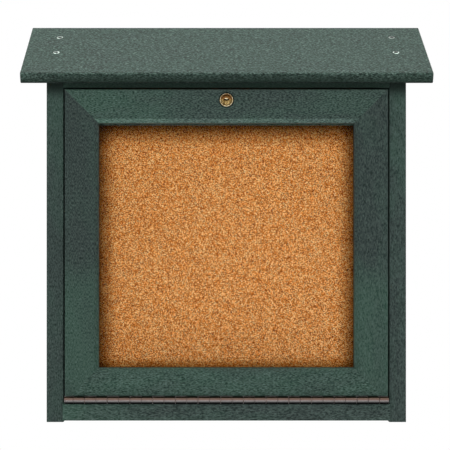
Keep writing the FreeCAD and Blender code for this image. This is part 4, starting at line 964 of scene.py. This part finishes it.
def make_lock():
    """The lock's brass pieces: polished at the rim, aged elsewhere and painted dark in the keyway as
    shade.
    """
    polished = brass("polished_brass", srgb(252, 240, 208), srgb(206, 184, 136), 0.14)
    # Near-black painted shade for the inside of the keyway.
    keyway_shade = metal("painted_keyway_shade", srgb(30, 23, 14), srgb(15, 12, 8), 0.6)
    aged = brass("aged_brass", srgb(200, 172, 114), srgb(98, 72, 30), 0.22, LOCK_SEAT.z)
    back = (DOOR_FACE - LOCK_HIGH.y) / MM
    make_lock_body(back, polished, aged)
    make_lock_plug(back, polished, aged, keyway_shade)


# Pieces that stand for CAD nodes

def make_screws():
    """Wood screws in place of the CAD's plain ones, one piece for each node."""
    large_head, play = 3.5 * MM, 0.02 * MM
    coated = screw_finish()
    tree = screw_tree()
    for number, node in enumerate(sorted(name for name in nodes if name.endswith("_screws"))):
        screws = screws_of(node)
        first = screws[0]
        is_large = first.head_radius > large_head
        sizes = {
            "Head Radius": first.head_radius - play, "Length": first.length, "Seed": float(number),
            "Shank Radius": (2.1 if is_large else 1.45) * MM,
            "Thread Pitch": (2.0 if is_large else 1.2) * MM,
            "Thread Depth": (0.55 if is_large else 0.4) * MM}
        piece = make_shape(node.replace("_screws", "_wood_screws"), tree,
                           [screw.top for screw in screws], {"aim": [screw.aim for screw in screws]},
                           sizes, coated)
        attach(piece, body_of(node))
        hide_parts(node)


def make_hinge():
    steel = hinge_finish()
    tree = leaf_tree()
    for leaf, over, end_knuckles in (("hinge_fixed_leaf", False, True), ("hinge_door_leaf", True, False)):
        piece = make_hinge_leaf(tree, leaf, leaf.replace("leaf", "screws"), steel, over, end_knuckles)
        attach(piece, body_of(leaf))
        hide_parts(leaf)


# Setting

def add_camera():
    """The photograph's view: level, looking along +Y, with the frame shifted and not tilted."""
    photo_width = 450
    focal_px = 1455
    vanishing_x, vanishing_y = 208.2, 255.9
    aside, distance, height = -20.5 * MM, 1644.5 * MM, 187.8 * MM
    data = bpy.data.cameras.new("camera")
    data.sensor_width = 36
    data.lens = data.sensor_width * focal_px / photo_width
    data.shift_x = (photo_width / 2 - vanishing_x) / photo_width
    data.shift_y = (vanishing_y - photo_width / 2) / photo_width
    data.clip_start = 0.05
    camera = add_object("camera", data)
    case_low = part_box("left_side_board")[0]
    camera.location = (aside, case_low.y - distance, case_low.z + height)
    camera.rotation_euler = (math.radians(90), 0, 0)
    scene.camera = camera


def add_lamps():
    """A broad soft light at eye level, one above the roof, and weaker ones for the sides and back.
    Each has a place, a place that it aims at, a size and a power. Only the upper one is mirrored."""
    upper = "top_softbox"
    for name, place, aim, size, power in (
            ("front_softbox", (-0.05, -2.6, 0.26), (0, -0.09, 0.0), (1.35, 1.35), 45),
            (upper, (0, 0.10, 1.9), (0, -0.05, 0.2), (1.6, 0.9), 34),
            ("left_softbox", (-2.4, 0.7, 0.4), (0, 0, 0), (1.2, 1.2), 16),
            ("right_softbox", (2.4, 0.7, 0.4), (0, 0, 0), (1.2, 1.2), 16),
            ("back_softbox", (0.0, 2.6, 0.5), (0, 0, 0), (1.2, 1.2), 30)):
        data = bpy.data.lights.new(name, "AREA")
        data.shape = "RECTANGLE"
        data.size, data.size_y = size
        data.energy = power
        lamp = add_object(name, data)
        lamp.location = place
        lamp.rotation_euler = (Vector(aim) - Vector(place)).to_track_quat("-Z", "Y").to_euler()
        lamp.visible_glossy = name == upper
        lamp.visible_transmission = False


def add_world():
    """White where the camera, a reflection or the window shows it, and a dim light elsewhere."""
    dim = 0.12
    world = bpy.data.worlds.new("studio")
    scene.world = world
    world.use_nodes = True
    tree = world.node_tree
    background = tree.nodes["Background"]
    path = add_node(tree, "ShaderNodeLightPath").outputs
    seen = math_node(tree, "MAXIMUM", path["Is Camera Ray"], path["Is Glossy Ray"])
    seen = math_node(tree, "MAXIMUM", seen, path["Is Transmission Ray"])
    seen = product(tree, seen, math_node(tree, "LESS_THAN", path["Diffuse Depth"], 0.5))
    feed(tree, background.inputs["Color"], (1, 1, 1, 1))
    feed(tree, background.inputs["Strength"], smooth_step(tree, seen, 0.0, 1.0, dim, 1.0))


def add_floor():
    """A pale floor below the opened door. Far from the object it fades into the white backdrop."""
    size, clearance, fade_from, fade_to = 6.0, 30 * MM, 0.8, 1.9
    pin_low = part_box("hinge_pin")[0].z
    low = pin_low - (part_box("door_top_rail")[1].z - pin_low) - clearance
    mesh = bpy.data.meshes.new("floor")
    corners = [(-size, -size, low), (size, -size, low), (size, size, low), (-size, size, low)]
    mesh.from_pydata(corners, [], [(0, 1, 2, 3)])
    floor = add_object("floor", mesh)
    material, tree, shader = new_material("pale_floor")
    set_surface(tree, shader, {"Base Color": (0.8, 0.8, 0.8, 1), "Roughness": 0.8})
    away = vector_math(tree, "LENGTH", place_pattern(tree), output="Value")
    camera_ray = add_node(tree, "ShaderNodeLightPath").outputs["Is Camera Ray"]
    far = product(tree, smooth_step(tree, away, fade_from, fade_to), camera_ray)
    mix_in(tree, far, shader, add_node(tree, "ShaderNodeEmission"))
    mesh.materials.append(material)


dress_boards()
dress_the_rest()
make_screws()
make_hinge()
make_lock()
add_floor()
add_world()
add_lamps()
add_camera()
scene.view_settings.view_transform = "Standard"
